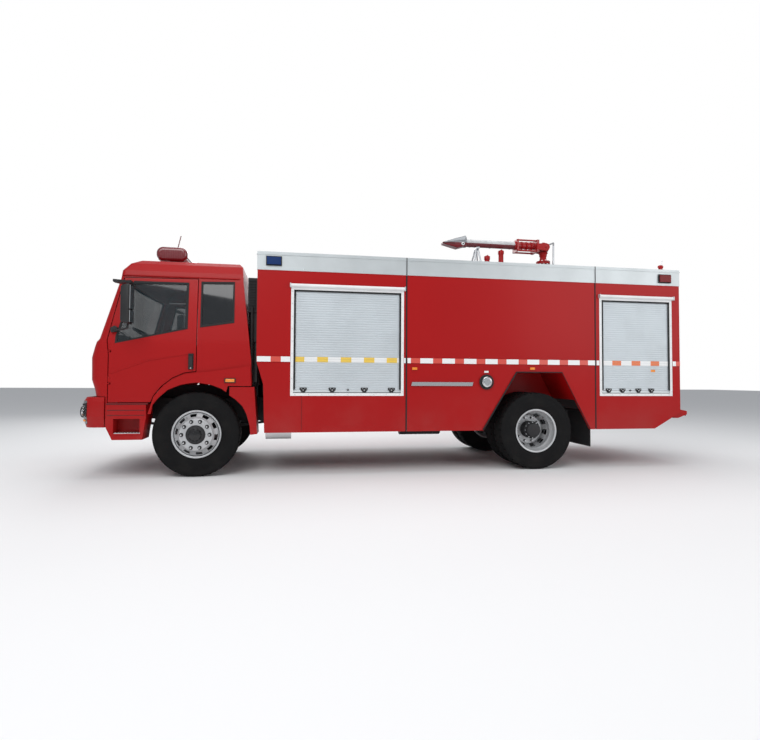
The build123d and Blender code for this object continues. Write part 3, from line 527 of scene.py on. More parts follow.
def addBox(shape, low, high, material=0):
    before = set(shape.faces)
    low, high = Vector(low), Vector(high)
    size = [abs(b - a) for a, b in zip(low, high)]
    place = Matrix.Translation((low + high) / 2) @ Matrix.Diagonal((*size, 1))
    made = bmesh.ops.create_cube(shape, size=1, matrix=place)
    paintFaces(shape, before, material)
    return made["verts"]


def addRod(shape, start, end, radius, material=0, endRadius=None, sides=20):
    before = set(shape.faces)
    start, end = Vector(start), Vector(end)
    way = end - start
    place = Matrix.Translation((start + end) / 2) @ way.to_track_quat("Z", "Y").to_matrix().to_4x4()
    tip = radius if endRadius is None else endRadius
    bmesh.ops.create_cone(
        shape, cap_ends=True, segments=sides, radius1=radius, radius2=tip, depth=way.length, matrix=place)
    paintFaces(shape, before, material)


def addPipe(shape, points, radius, material=0, sides=16):
    # rods joined by balls at the corners
    for a, b in zip(points, points[1:]):
        addRod(shape, a, b, radius, material, sides=sides)
    for corner in points[1:-1]:
        before = set(shape.faces)
        bmesh.ops.create_uvsphere(
            shape, u_segments=sides, v_segments=8, radius=radius, matrix=Matrix.Translation(corner))
        paintFaces(shape, before, material)


def addSlab(shape, corners, way, material=0):
    # a flat outline given as points, pushed out along a vector
    before = set(shape.faces)
    face = shape.faces.new([shape.verts.new(corner) for corner in corners])
    pushed = bmesh.ops.extrude_face_region(shape, geom=[face])
    moved = [item for item in pushed["geom"] if isinstance(item, bmesh.types.BMVert)]
    bmesh.ops.translate(shape, verts=moved, vec=way)
    paintFaces(shape, before, material, True)


def addTurned(shape, profile, centre, steps, material=0, closed=False, axis=(0, 1, 0), out=(0, 0, 1)):
    # spins a profile of (along, radius) pairs a full turn about an axis through centre
    before = set(shape.faces)
    centre, axis, out = Vector(centre), Vector(axis), Vector(out)
    verts = [shape.verts.new(centre + axis * along + out * radius) for along, radius in profile]
    edges = [shape.edges.new(pair) for pair in zip(verts, verts[1:])]
    if closed:
        edges.append(shape.edges.new((verts[-1], verts[0])))
    bmesh.ops.spin(
        shape, geom=verts + edges, cent=centre, axis=axis, angle=math.tau, steps=steps, use_merge=True)
    made = [f for f in shape.faces if f not in before]
    around = list({v for f in made for v in f.verts})
    bmesh.ops.remove_doubles(shape, verts=around, dist=0.00005)
    return paintFaces(shape, before, material, True)


def mirrored(make, name, *details, **settings):
    # makes a left piece and its twin on the right
    for side, word in ((1, "left"), (-1, "right")):
        make(f"{name}_{word}", side, word, *details, **settings)


tyre = {
    "bead": 0.286, "beadHalf": 0.098, "wide": 0.140, "wideRadius": 0.405, "shoulderHalf": 0.118,
    "steps": 108, "grooves": (-0.066, -0.023, 0.023, 0.066), "grooveHalf": 0.006, "grooveDepth": 0.014,
}


def tyreProfile():
    outer = tyreRadius
    side = [
        (tyre["beadHalf"] - 0.020, tyre["bead"]), (tyre["beadHalf"], tyre["bead"] + 0.001), (0.106, 0.297),
        (0.121, 0.318), (0.124, 0.322), (0.131, 0.350), (0.138, 0.380), (tyre["wide"], tyre["wideRadius"]),
        (0.1385, 0.436), (0.134, 0.470), (0.1355, 0.474), (0.131, 0.497), (0.124, 0.513),
        (tyre["shoulderHalf"], outer - 0.0065), (0.110, outer - 0.003),
    ]
    profile = [(-y, r) for y, r in side]
    for groove in tyre["grooves"]:
        crown = outer - 0.003 * (groove / 0.11) ** 2
        for step, depth in ((-1.3, 0), (-0.8, 1), (0.8, 1), (1.3, 0)):
            profile.append((groove + step * tyre["grooveHalf"], crown - depth * tyre["grooveDepth"]))
    return profile + side[::-1] + [(0.090, 0.480), (0, 0.500), (-0.090, 0.480)]


def wheelPlace(face, centre, steps):
    # a face's distance from the axle, its step round the wheel and its distance from the middle plane
    spot = face.calc_center_median() - centre
    return math.hypot(spot.x, spot.z), math.atan2(spot.x, spot.z) / math.tau * steps, abs(spot.y)


def makeTyre(shape, centre):
    # blocks are cut into every third step of both shoulders
    shoulders = []
    for face in addTurned(shape, tyreProfile(), centre, tyre["steps"], closed=True):
        radius, step, beside = wheelPlace(face, centre, tyre["steps"])
        if 0.068 < beside < 0.125 and radius > tyreRadius - 0.016 and math.floor(step + 0.5) % 3 == 0:
            shoulders.append(face)
    bmesh.ops.inset_individual(shape, faces=shoulders, thickness=0.003, depth=-0.007)


def tyreSet(name, body, replaced, station, wheelCentres):
    shape = bmesh.new()
    for wheelY in wheelCentres:
        makeTyre(shape, Vector((at(station), wheelY, axleZ)))
    piece(name, shape, ["tyre"], body, (replaced,), smooth=32)


frontWheelY = (tyreLow[1] + tyreHigh[1]) / 2
rearMiddleY = (rearLow[1] + rearHigh[1]) / 2
dualOffset = (rearHigh[1] - rearLow[1]) / 2 - tyre["wide"]
for side, word in ((1, "left"), (-1, "right")):
    tyreSet(f"tread_front_{word}", f"wheel_front_{word}", f"front_tyre_{word}", 0, (side * frontWheelY,))
    pair = (side * (rearMiddleY + dualOffset), side * (rearMiddleY - dualOffset))
    tyreSet(f"tread_rear_{word}", f"wheel_rear_{word}", f"rear_tyres_{word}", wheelbase, pair)
print("tyres made")

wheel = {
    "rim": (
        (-0.117, 0.290), (-0.117, 0.298), (-0.112, 0.300), (-0.108, 0.297), (-0.107, 0.287), (-0.072, 0.286),
        (-0.050, 0.257), (0.020, 0.257), (0.060, 0.285), (0.107, 0.287), (0.108, 0.297), (0.112, 0.300),
        (0.117, 0.298), (0.117, 0.290), (0.112, 0.278), (0.066, 0.274), (0.026, 0.245), (-0.054, 0.245),
        (-0.078, 0.274), (-0.112, 0.278),
    ),
    "frontDisc": (
        (0.070, 0.272), (0.094, 0.270), (0.108, 0.262), (0.122, 0.248), (0.143, 0.222), (0.160, 0.208),
        (0.172, 0.202), (0.178, 0.194), (0.178, 0.160), (0.178, 0.128), (0.178, 0.112),
    ),
    "rearDisc": (
        (-0.052, 0.256), (-0.062, 0.250), (-0.085, 0.238), (-0.118, 0.222), (-0.140, 0.212), (-0.152, 0.203),
        (-0.155, 0.194), (-0.155, 0.160), (-0.155, 0.130), (-0.155, 0.112),
    ),
    "frontHub": (
        (-0.075, 0.050), (-0.075, 0.105), (0.100, 0.118), (0.178, 0.118), (0.184, 0.116), (0.186, 0.108),
        (0.198, 0.104), (0.204, 0.096), (0.206, 0.078),
    ),
    "frontCap": ((0.204, 0.080), (0.206, 0.074), (0.222, 0.072), (0.230, 0.066), (0.234, 0.052), (0.236, 0.0002)),
    "rearHub": (
        (-0.125, 0.050), (-0.125, 0.112), (-0.020, 0.118), (0.060, 0.118), (0.128, 0.116), (0.140, 0.118),
        (0.144, 0.122), (0.158, 0.122), (0.162, 0.118), (0.172, 0.104), (0.205, 0.100), (0.215, 0.094),
        (0.222, 0.080), (0.226, 0.050), (0.228, 0.0002),
    ),
    "frontHoles": (0.226, 0.264), "rearHoles": (0.214, 0.246), "holeSteps": 4,
    "studCircle": 0.1675, "studs": 10, "steps": 80, "discWall": 0.011,
}
wheelFinishes = ["wheelSilver", "castDark", "brightMetal", "blackGloss"]


def ringPoint(station, radius, turn, y):
    return (at(station) + radius * math.sin(turn), y, axleZ + radius * math.cos(turn))


def wheelNut(shape, station, turn, base, side, length):
    def spot(along):
        return ringPoint(station, wheel["studCircle"], turn, base + side * along)
    addRod(shape, spot(0), spot(0.005), 0.024, 1, sides=24)
    addRod(shape, spot(0.004), spot(length * 0.75), 0.0175, 1, sides=6)
    addRod(shape, spot(length * 0.7), spot(length + 0.008), 0.010, 2, sides=12)


def discWithHoles(shape, profile, centre, side, band):
    # the disc's skin with openings left between two radii
    stepsPerHole = wheel["steps"] // wheel["studs"]
    gone = []
    for face in addTurned(shape, profile, centre, wheel["steps"], axis=(0, side, 0)):
        radius, step, _ = wheelPlace(face, centre, wheel["steps"])
        if band[0] < radius < band[1] and math.floor(step) % stepsPerHole < wheel["holeSteps"]:
            gone.append(face)
    bmesh.ops.delete(shape, geom=gone, context="FACES")


def frontWheel(name, side, word):
    body = f"wheel_front_{word}"
    centre = Vector((at(0), side * frontWheelY, axleZ))
    skin = bmesh.new()
    discWithHoles(skin, wheel["frontDisc"], centre, side, wheel["frontHoles"])
    piece(f"{name}_disc", skin, ["wheelSilver"], body, solid=wheel["discWall"], bevel=0.0025)
    shape = bmesh.new()
    addTurned(shape, wheel["rim"], centre, 96, closed=True, axis=(0, side, 0))
    addTurned(shape, wheel["frontHub"], centre, 64, 1, axis=(0, side, 0))
    addTurned(shape, wheel["frontCap"], centre, 48, 3, axis=(0, side, 0))
    for index in range(wheel["studs"]):
        turn = math.tau * (index + 0.5) / wheel["studs"]
        wheelNut(shape, 0, turn, centre.y + side * 0.178, side, 0.030)
        y = centre.y + side * 0.186
        spot = ringPoint(0, 0.090, turn, y)
        addRod(shape, spot, (spot[0], y + side * 0.024, spot[2]), 0.007, 1, sides=6)
    valve = ringPoint(0, 0.235, 0.5, centre.y + side * 0.06)
    addRod(shape, valve, (valve[0], valve[1] + side * 0.085, valve[2]), 0.005, 3, sides=10)
    piece(name, shape, wheelFinishes, body, (f"front_wheel_{word}",))


def rearWheels(name, side, word):
    body = f"wheel_rear_{word}"
    shape = bmesh.new()
    skin = bmesh.new()
    for facing in (1, -1):
        way = side * facing
        centre = Vector((at(wheelbase), side * (rearMiddleY + facing * dualOffset), axleZ))
        addTurned(shape, wheel["rim"], centre, 96, closed=True, axis=(0, way, 0))
        discWithHoles(skin, wheel["rearDisc"], centre, way, wheel["rearHoles"])
    piece(f"{name}_discs", skin, ["wheelSilver"], body, solid=wheel["discWall"], bevel=0.0025)
    middle = Vector((at(wheelbase), side * rearMiddleY, axleZ))
    addTurned(shape, wheel["rearHub"], middle, 64, 1, axis=(0, side, 0))
    for index in range(12):
        turn = math.tau * index / 12
        spot = ringPoint(wheelbase, 0.109, turn, middle.y + side * 0.160)
        addRod(shape, spot, (spot[0], spot[1] + side * 0.014, spot[2]), 0.008, 2, sides=6)
    for index in range(wheel["studs"]):
        turn = math.tau * (index + 0.5) / wheel["studs"]
        wheelNut(shape, wheelbase, turn, middle.y + side * 0.012, side, 0.034)
    piece(name, shape, wheelFinishes, body, (f"rear_wheels_{word}",))


mirrored(frontWheel, "wheel_front")
mirrored(rearWheels, "wheels_rear")
print("wheels made")

cab = {
    "waist": (1.212, 1.700), "drip": (1.150, 2.453), "side": 1.215, "bow": 0.025, "corner": 0.100,
    "nose": ((0.905, -1.180), (1.085, -1.213), (1.200, -1.251), (1.469, -1.258), (1.593, -1.226), (1.660, -1.205),
             (1.700, -1.170), (2.453, -0.950), (2.555, -0.939), (2.654, -0.864), (2.712, -0.780)),
    "doorWindow": ((-0.757, 2.408), (-0.125, 2.413), (-0.129, 1.841), (-0.941, 1.653), (-0.931, 1.744)),
    "quarterWindow": ((0.040, 2.429), (0.430, 2.440), (0.433, 1.936), (0.040, 1.870)),
    "handle": (1.335, 1.530),
    "crease": ((-0.995, 1.292), (-0.560, 1.452), (-0.100, 1.520), (-0.560, 1.438), (-0.995, 1.272)),
}


def cabSideY(z):
    # half width of the cab's side at a height
    waistY, waistZ = cab["waist"]
    dripY, dripZ = cab["drip"]
    share = max(0.0, (z - waistZ) / (dripZ - waistZ))
    return (cab["side"] if z < 1.593 else waistY) + (dripY - waistY) * share


def cabFrontX(y, z):
    # the bowed front face at a height and distance from the middle
    nose = cab["nose"]
    for (lowZ, lowS), (highZ, highS) in zip(nose, nose[1:]):
        if z <= highZ:
            break
    station = lowS + (highS - lowS) * (z - lowZ) / (highZ - lowZ)
    edge = cabSideY(z) - cab["corner"]
    return at(station + cab["bow"] * min(1.0, abs(y) / edge) ** 2)


def windowRubber(shape, outline, side, width):
    # a flat strip round a window's outline of (station, height) on the cab's side
    inset, proud, sunk = 0.012, 0.004, 0.010
    middle = Vector((sum(s for s, z in outline), sum(z for s, z in outline))) / len(outline)
    loops = []
    for grow in (inset, inset - width):
        ways = [Vector(corner) - middle for corner in outline]
        loops.append([middle + way * (1 + grow / way.length * 1.25) for way in ways])
    before = set(shape.faces)
    verts = []
    for depth in (proud, -sunk):
        for ring in loops:
            verts.append([shape.verts.new((at(s), side * (cabSideY(z) + depth), z)) for s, z in ring])
    count = len(outline)
    outerTop, innerTop, outerLow, innerLow = verts
    for i in range(count):
        j = (i + 1) % count
        shape.faces.new((outerTop[i], outerTop[j], innerTop[j], innerTop[i]))
        shape.faces.new((outerLow[j], outerLow[i], innerLow[i], innerLow[j]))
        shape.faces.new((outerTop[j], outerTop[i], outerLow[i], outerLow[j]))
        shape.faces.new((innerTop[i], innerTop[j], innerLow[j], innerLow[i]))
    paintFaces(shape, before, 0, True)


def doorTrim(name, side, word):
    # window rubber, handle, lock, crease and hinge covers on a door
    shape = bmesh.new()
    windowRubber(shape, cab["doorWindow"], side, 0.030)
    low, high = cab["handle"]
    y = side * cab["side"]
    addBox(shape, (at(-0.097), y, low), (at(-0.037), y + side * 0.016, high), 0)
    addBox(shape, (at(-0.088), y + side * 0.014, low + 0.030), (at(-0.046), y + side * 0.030, high - 0.030), 1)
    lock = low + 0.016
    addRod(shape, (at(-0.067), y + side * 0.014, lock), (at(-0.067), y + side * 0.022, lock), 0.010, 2)
    addSlab(shape, [(at(s), y - side * 0.002, z) for s, z in cab["crease"]], (0, side * 0.007, 0), 3)
    for z in (1.146, 1.536):
        addRod(shape, (at(-1.010), side * 1.209, z + 0.030), (at(-1.010), side * 1.209, z + 0.095), 0.013, 3)
    finishes = ["rubber", "black", "brightMetal", "cabRed"]
    piece(name, shape, finishes, f"door_{word}", bevel=0.0012)


mirror = {
    "cover": ((-0.868, 2.352), (-0.775, 2.362), (-0.765, 2.392), (-0.785, 2.420), (-0.862, 2.414), (-0.872, 2.385)),
    "foot": ((-0.990, 1.775), (-0.925, 1.780), (-0.920, 1.835), (-0.950, 1.855), (-0.995, 1.830)),
    "arm": ((-0.850, 1.205, 2.358), (-0.925, 1.330, 2.358), (-0.915, 1.440, 2.356), (-0.700, 1.500, 2.332),
            (-0.700, 1.400, 2.332), (-0.800, 1.205, 2.358)),
    "tube": ((-0.742, 1.440, 2.30), (-0.742, 1.440, 1.815), (-0.800, 1.40, 1.800), (-0.960, 1.235, 1.800)),
    "head": (1.852, 2.328), "panes": ((2.030, 2.306), (1.874, 2.012)),
}


def mirrorUnit(name, side, word):
    # two-part mirror head on a tube, with the upper arm's cover and the lower arm
    def spot(s, y, z):
        return Vector((at(s), side * y, z))
    shape = bmesh.new()
    addSlab(shape, [spot(s, cabSideY(2.39) - 0.004, z) for s, z in mirror["cover"]], (0, side * 0.060, 0), 0)
    addSlab(shape, [spot(*corner) for corner in mirror["arm"]], (0, 0, 0.030), 0)
    addPipe(shape, [spot(*corner) for corner in mirror["tube"]], 0.012)
    addSlab(shape, [spot(s, cabSideY(1.81) - 0.004, z) for s, z in mirror["foot"]], (0, side * 0.045, 0), 0)
    low, high = mirror["head"]
    verts = addBox(shape, spot(-0.803, 1.372, low), spot(-0.700, 1.558, high))
    for vert in verts:
        if vert.co.x > at(-0.760):  # the back of the head is smaller
            vert.co.y += (spot(0, 1.465, 0).y - vert.co.y) * 0.20
            vert.co.z += ((low + high) / 2 - vert.co.z) * 0.10
    roundEdges(shape, verts, 0.026, 4)
    for paneLow, paneHigh in mirror["panes"]:
        addBox(shape, spot(-0.697, 1.390, paneLow), spot(-0.690, 1.540, paneHigh), 1)
    for z in (1.95, 2.23):
        addBox(shape, spot(-0.800, 1.440, z - 0.02), spot(-0.806, 1.490, z + 0.02), 0)
    piece(name, shape, ["black", "mirrorGlass"], f"door_{word}", (f"mirror_{word}",))


mirrored(doorTrim, "door_trim")
mirrored(mirrorUnit, "mirror_unit")


def cabSideTrim(name, side, word):
    # quarter window rubber, side lamp, drip rail, sill strips and the step's tread
    shape = bmesh.new()
    windowRubber(shape, cab["quarterWindow"], side, 0.028)
    y = side * cab["side"]
    flare = side * bodySide
    addBox(shape, (at(0.340), y, 1.172), (at(0.474), flare + side * 0.004, 1.228), 2)
    lampBody = addBox(shape, (at(0.352), flare, 1.180), (at(0.462), flare + side * 0.016, 1.220), 1)
    roundEdges(shape, lampBody, 0.006, 2)
    dripZ = 2.486
    dripY = side * (cabSideY(2.453) - 0.010)
    addBox(shape, (at(-0.900), dripY, dripZ), (at(0.500), dripY + side * 0.022, dripZ + 0.010), 3)
    addBox(shape, (at(-1.030), side * 1.200, 0.905), (at(-0.560), side * 1.222, 0.915), 2)
    for low, high in ((0.8300, 0.8360), (0.7700, 0.7750)):
        addBox(shape, (at(-1.020), side * 1.209, low), (at(-0.600), side * 1.2175, high), 2)
    addBox(shape, (at(-0.938), side * 1.040, 0.5525), (at(-0.642), side * 1.2225, 0.5600), 4)
    for index in range(9):
        s = -0.925 + index * 0.034
        addBox(shape, (at(s), side * 1.060, 0.560), (at(s + 0.012), side * 1.215, 0.565), 4)
    finishes = ["rubber", "amberLens", "black", "cabRed", "brightMetal"]
    piece(name, shape, finishes, "chassis", bevel=0.0010)


mirrored(cabSideTrim, "cab_side_trim")

# windscreen rubber, wipers, brow lamps and grille on the bowed front
face = {
    "screen": ((-1.081, 1.722), (1.081, 1.722), (1.006, 2.436), (-1.006, 2.436)), "rubber": 0.034, "proud": 0.005,
    "browLamps": (-0.52, 0, 0.52),
    "wipers": ((-0.98, -0.30), (-0.18, 0.50), (0.30, 0.98)), "slots": (1.170, 1.230, 1.290, 1.350),
}


def frontStrip(shape, start, end, width, proud, thick, material=0, steps=12):
    # a strip that follows the bowed front between two (y, z) points
    before = set(shape.faces)
    start, end = Vector(start), Vector(end)
    way = (end - start).normalized()
    across = Vector((-way.y, way.x)) * width / 2
    rings = []
    for index in range(steps + 1):
        middle = start.lerp(end, index / steps)
        ring = []
        for edge, depth in ((across, proud), (-across, proud), (-across, proud - thick), (across, proud - thick)):
            y, z = middle + edge
            ring.append(shape.verts.new((cabFrontX(y, z) + depth, y, z)))
        rings.append(ring)
    for a, b in zip(rings, rings[1:]):
        for i in range(4):
            shape.faces.new((a[i], a[(i + 1) % 4], b[(i + 1) % 4], b[i]))
    shape.faces.new(rings[0])
    shape.faces.new(rings[-1][::-1])
    paintFaces(shape, before, material, True)


shape = bmesh.new()
screen = face["screen"]
for start, end in zip(screen, screen[1:] + screen[:1]):
    frontStrip(shape, start, end, face["rubber"], face["proud"], 0.016)
for left, right in face["wipers"]:
    pivot = (right * 0.9 + left * 0.1, 1.690)
    tip = (left + 0.06, 1.800)
    frontStrip(shape, pivot, tip, 0.014, 0.045, 0.010, steps=6)
    frontStrip(shape, (left, 1.770), (right - 0.12, 1.845), 0.016, 0.022, 0.014, steps=8)
    addRod(shape, (cabFrontX(*pivot) - 0.01, *pivot), (cabFrontX(*pivot) + 0.05, *pivot), 0.016)
frontStrip(shape, (-1.05, 1.690), (1.05, 1.690), 0.040, 0.006, 0.012, steps=14)
for y in (-0.98, 0.98):
    x = cabFrontX(y, 2.585)
    addRod(shape, (x - 0.05, y, 2.580), (x + 0.030, y, 2.580), 0.024)
for z in face["slots"]:
    frontStrip(shape, (-0.765, z + 0.014), (0.765, z + 0.014), 0.034, -0.016, 0.012, steps=10)
    for index in range(25):
        y = -0.72 + index * 0.06
        frontStrip(shape, (y, z), (y, z + 0.028), 0.008, 0.000, 0.016, steps=1)
for z in (1.470, 1.130):
    frontStrip(shape, (-0.80, z), (0.80, z), 0.012, 0.012, 0.012, 1, steps=10)
for y in face["browLamps"]:
    x = cabFrontX(y, 2.600)
    amber = addBox(shape, (x - 0.05, y - 0.055, 2.590), (x + 0.012, y + 0.055, 2.622), 2)
    roundEdges(shape, amber, 0.008, 3)
piece("cab_front_trim", shape, ["black", "chrome", "amberLens"], "chassis", bevel=0.0015)
print("cab trimmed")

bumper = {
    "form": ((0.628, -1.330, 1.215), (0.759, -1.363, 1.235), (0.940, -1.356, 1.235), (0.993, -1.327, 1.225)),
    "bow": 0.040, "corner": 0.150,
}
headlamp = {
    "bulbs": ((0.945, 0.812, 0.072), (1.095, 0.812, 0.060)), "strips": ((0.700, 0.722, 3), (0.890, 0.912, 0)),
    "bowl": ((0.016, 1.0), (0.008, 0.98), (-0.008, 0.8), (-0.014, 0.3)), "liner": (0.672, 0.740, 0.810, 0.880, 0.946),
}


def bumperX(y, z):
    # the bumper's face at a height and distance from the middle, round its corner too
    form = bumper["form"]
    for (lowZ, lowS, lowHalf), (highZ, highS, highHalf) in zip(form, form[1:]):
        if z <= highZ:
            break
    share = (z - lowZ) / (highZ - lowZ)
    station = lowS + (highS - lowS) * share
    half = lowHalf + (highHalf - lowHalf) * share
    edge = half - bumper["corner"]
    if abs(y) <= edge:
        return at(station + bumper["bow"] * (abs(y) / edge) ** 2)
    past = min(1.0, (abs(y) - edge) / bumper["corner"])
    return at(station + bumper["bow"] + bumper["corner"] * (1 - math.sqrt(max(0.0, 1 - past * past))))


def headlampUnit(name, side, word):
    # bowl reflectors, indicator strips and a black liner behind the clear cover
    shape = bmesh.new()
    for y, z, radius in headlamp["bulbs"]:
        x = bumperX(y, z)
        bowl = [(depth, radius * share) for depth, share in headlamp["bowl"]] + [(-0.016, 0.0002)]
        addTurned(shape, bowl, Vector((x, side * y, z)), 32, 1, axis=(1, 0, 0))
        addRod(shape, (x - 0.016, side * y, z), (x + 0.012, side * y, z), 0.012, 2, sides=16)
        ring = ((0.010, radius + 0.010), (0.018, radius + 0.006), (0.018, radius), (0.008, radius))
        addTurned(shape, ring, Vector((x, side * y, z)), 32, 0, closed=True, axis=(1, 0, 0))
    for low, high, material in headlamp["strips"]:
        for index in range(10):
            y0 = 0.870 + index * 0.032
            x = bumperX(y0 + 0.016, (low + high) / 2)
            addBox(shape, (x - 0.02, side * y0, low), (x + 0.008, side * (y0 + 0.028), high), material)
    rows = []
    for z in headlamp["liner"]:
        row = []
        for index in range(17):
            y = 0.864 + index * 0.0225
            slope = (bumperX(y + 0.004, z) - bumperX(y - 0.004, z)) / 0.008
            way = Vector((1, -slope)).normalized() * 0.037
            row.append(shape.verts.new((bumperX(y, z) - way.x, side * (y - way.y), z)))
        rows.append(row)
    liner = [shape.faces.new((a[i], a[i + 1], b[i + 1], b[i])) for a, b in zip(rows, rows[1:]) for i in range(16)]
    bmesh.ops.recalc_face_normals(shape, faces=liner)
    if liner[0].normal.x < 0:
        bmesh.ops.reverse_faces(shape, faces=liner)
    piece(name, shape, ["black", "chrome", "clearLens", "amberLens"], "chassis", smooth=40)


mirrored(headlampUnit, "headlamp_unit")

# air slots, blank plate and fog lamps
shape = bmesh.new()
for index in range(16):
    y0 = -0.60 + index * 0.075
    x = bumperX(y0 + 0.03, 0.900)
    addBox(shape, (x - 0.012, y0, 0.900), (x + 0.003, y0 + 0.055, 0.928), 0)
x = bumperX(0, 0.790)
addBox(shape, (x - 0.010, -0.240, 0.722), (x + 0.008, 0.240, 0.862), 1)
addBox(shape, (x + 0.004, -0.228, 0.734), (x + 0.011, 0.228, 0.850), 2)
for y in (-0.45, 0.45):
    x = bumperX(y, 0.740)
    addTurned(shape, ((0.000, 0.046), (0.010, 0.050), (0.014, 0.044), (0.004, 0.034), (-0.010, 0.0002)),
              Vector((x, y, 0.745)), 28, 0, axis=(1, 0, 0))
    addRod(shape, (x - 0.01, y, 0.745), (x + 0.008, y, 0.745), 0.034, 3, sides=28)
piece("bumper_trim", shape, ["black", "black", "whitePaint", "clearLens"], "chassis", bevel=0.002)
print("bumper trimmed")

body = {
    "tape": (1.441, 1.508), "seams": (2.651, 5.372), "front": 0.722, "rear": 6.707,
    "lockers": {"front": (1.145, 2.614, 1.010, 2.402), "rear": (5.435, 6.580, 1.010, 2.402)},
    "strip": ((2.712, 1.143), (2.726, 1.193), (3.568, 1.193), (3.554, 1.143)),
    "reflectors": ((2.760, 1.370), (4.420, 1.385)), "filler": (3.756, 1.198), "deck": 2.640,
    "lamps": ((0.925, 2.720, 0.172, 0.096), (6.464, 2.703, 0.176, 0.100)),  # station, height, length, tall
    "archSlopes": (((3.712, 0.548), (4.198, 1.334)), ((4.862, 1.334), (5.282, 0.548))),
}


def bodySideTrim(name, side, word):
    # tape, chrome strip, reflectors, filler cap, seam rubber, lamp bezels and arch edge on one side
    shape = bmesh.new()
    y = side * bodySide
    low, high = body["tape"]
    (s0, s1, _, _), (s2, s3, _, _) = body["lockers"]["front"], body["lockers"]["rear"]
    seam1, seam2 = body["seams"]
    runs = ((body["front"] + 0.006, s0 - 0.003), (s1 + 0.003, seam1 - 0.012), (seam1 + 0.012, seam2 - 0.012),
            (seam2 + 0.012, s2 - 0.003), (s3 + 0.003, body["rear"] - 0.004))
    for start, end in runs:
        addBox(shape, (at(start), y, low), (at(end), y + side * 0.0012, high), 0)
    strip = [(at(s), y + side * 0.007, z) for s, z in body["strip"]]
    addSlab(shape, strip, (0, side * 0.0045, 0), 1)
    for s, z in body["reflectors"]:
        addBox(shape, (at(s - 0.034), y, z - 0.016), (at(s + 0.034), y + side * 0.006, z + 0.016), 2)
    for s in body["seams"]:
        addBox(shape, (at(s - 0.0075), y - side * 0.020, 0.560), (at(s + 0.0075), y - side * 0.004, 2.600), 3)
        addBox(shape, (at(s - 0.005), y + side * 0.0015, 2.608), (at(s + 0.005), y + side * 0.004, 2.838), 3)
    addBox(shape, (at(1.2885), y, 0.572), (at(1.2915), y + side * 0.0008, 1.004), 3)
    s, z = body["filler"]
    ring = ((0.000, 0.100), (0.010, 0.102), (0.014, 0.098), (0.014, 0.076), (0.008, 0.072))
    addTurned(shape, ring, (at(s), y, z), 48, 3, axis=(0, side, 0))
    cap = ((0.010, 0.072), (0.034, 0.070), (0.040, 0.064), (0.041, 0.050), (0.036, 0.046), (0.036, 0.0002))
    addTurned(shape, cap, (at(s), y, z), 48, 1, axis=(0, side, 0))
    addBox(shape, (at(s - 0.040), y + side * 0.034, z - 0.009), (at(s + 0.040), y + side * 0.052, z + 0.009), 1)
    addBox(shape, (at(s - 0.030), y, z + 0.125), (at(s + 0.030), y + side * 0.002, z + 0.150), 4)
    base = y + side * 0.004
    for s, z, length, tall in body["lamps"]:
        sa, sb, za, zb = s - length / 2, s + length / 2, z - tall / 2, z + tall / 2
        for rim, proud in ((0.012, 0.010), (0.006, 0.014)):
            for a, b, low, high in ((sa - rim, sb + rim, zb, zb + rim), (sa - rim, sb + rim, za - rim, za),
                                    (sa, sa - rim, za, zb), (sb, sb + rim, za, zb)):
                addBox(shape, (at(a), base, low), (at(b), base + side * proud, high), 3)
    addBox(shape, (at(4.200), y - side * 0.004, 1.3300), (at(4.860), y + side * 0.010, 1.3420), 3)
    for (sa, za), (sb, zb) in body["archSlopes"]:
        corners = ((sa, za), (sb, zb), (sb - 0.010, zb + 0.010), (sa - 0.010, za + 0.010))
        addSlab(shape, [(at(s), y - side * 0.004, z) for s, z in corners], (0, side * 0.012, 0), 3)
    finishes = ["tapeBody", "chrome", "amberLens", "rubber", "whitePaint"]
    piece(name, shape, finishes, "chassis", bevel=0.0010)


mirrored(bodySideTrim, "body_trim")


def rivetRow(shape, start, end, count, way, material=0):
    # low round heads in a row
    radius = 0.0055
    start, end, way = Vector(start), Vector(end), Vector(way)
    for index in range(count):
        spot = start.lerp(end, index / (count - 1))
        addRod(shape, spot, spot + way * 0.0022, radius, material, endRadius=radius * 0.55, sides=10)


def frameTrim(name, side, word):
    # seals, header tubes with their ends, and rivets of the two shutter frames on one side
    shape = bmesh.new()
    y = side * bodySide
    inner, seal = 0.0362, 0.024
    deep, thick = y - side * 0.013, side * 0.007
    for s0, s1, z0, z1 in body["lockers"].values():
        for sa, sb in ((s0 + inner, s0 + inner + seal), (s1 - inner - seal, s1 - inner)):
            addBox(shape, (at(sa), deep, z0 + 0.080), (at(sb), deep + thick, z1 - inner), 0)
        addBox(shape, (at(s0 + inner), deep, z1 - inner - seal), (at(s1 - inner), deep + thick, z1 - inner), 0)
        out = y + side * 0.016
        addRod(shape, (at(s0 - 0.012), out, z1 + 0.016), (at(s1 + 0.012), out, z1 + 0.016), 0.0215, 1, sides=24)
        for s in (s0 - 0.016, s1 + 0.002):
            addBox(shape, (at(s), y, z1 - 0.012), (at(s + 0.014), y + side * 0.041, z1 + 0.042), 2)
        rows = [((s, z0 + 0.06), (s, z1 - 0.06)) for s in (s0 + 0.018, s1 - 0.018)]
        rows.append(((s0 + 0.06, z0 + 0.018), (s1 - 0.06, z0 + 0.018)))
        front = y + side * 0.003
        for (sa, za), (sb, zb) in rows:
            rivetRow(shape, (at(sa), front, za), (at(sb), front, zb), 9, (0, side, 0), 2)
    piece(name, shape, ["rubber", "whitePaint", "silverPaint"], "chassis", bevel=0.0008)


mirrored(frameTrim, "shutter_trim")
print("body trimmed")

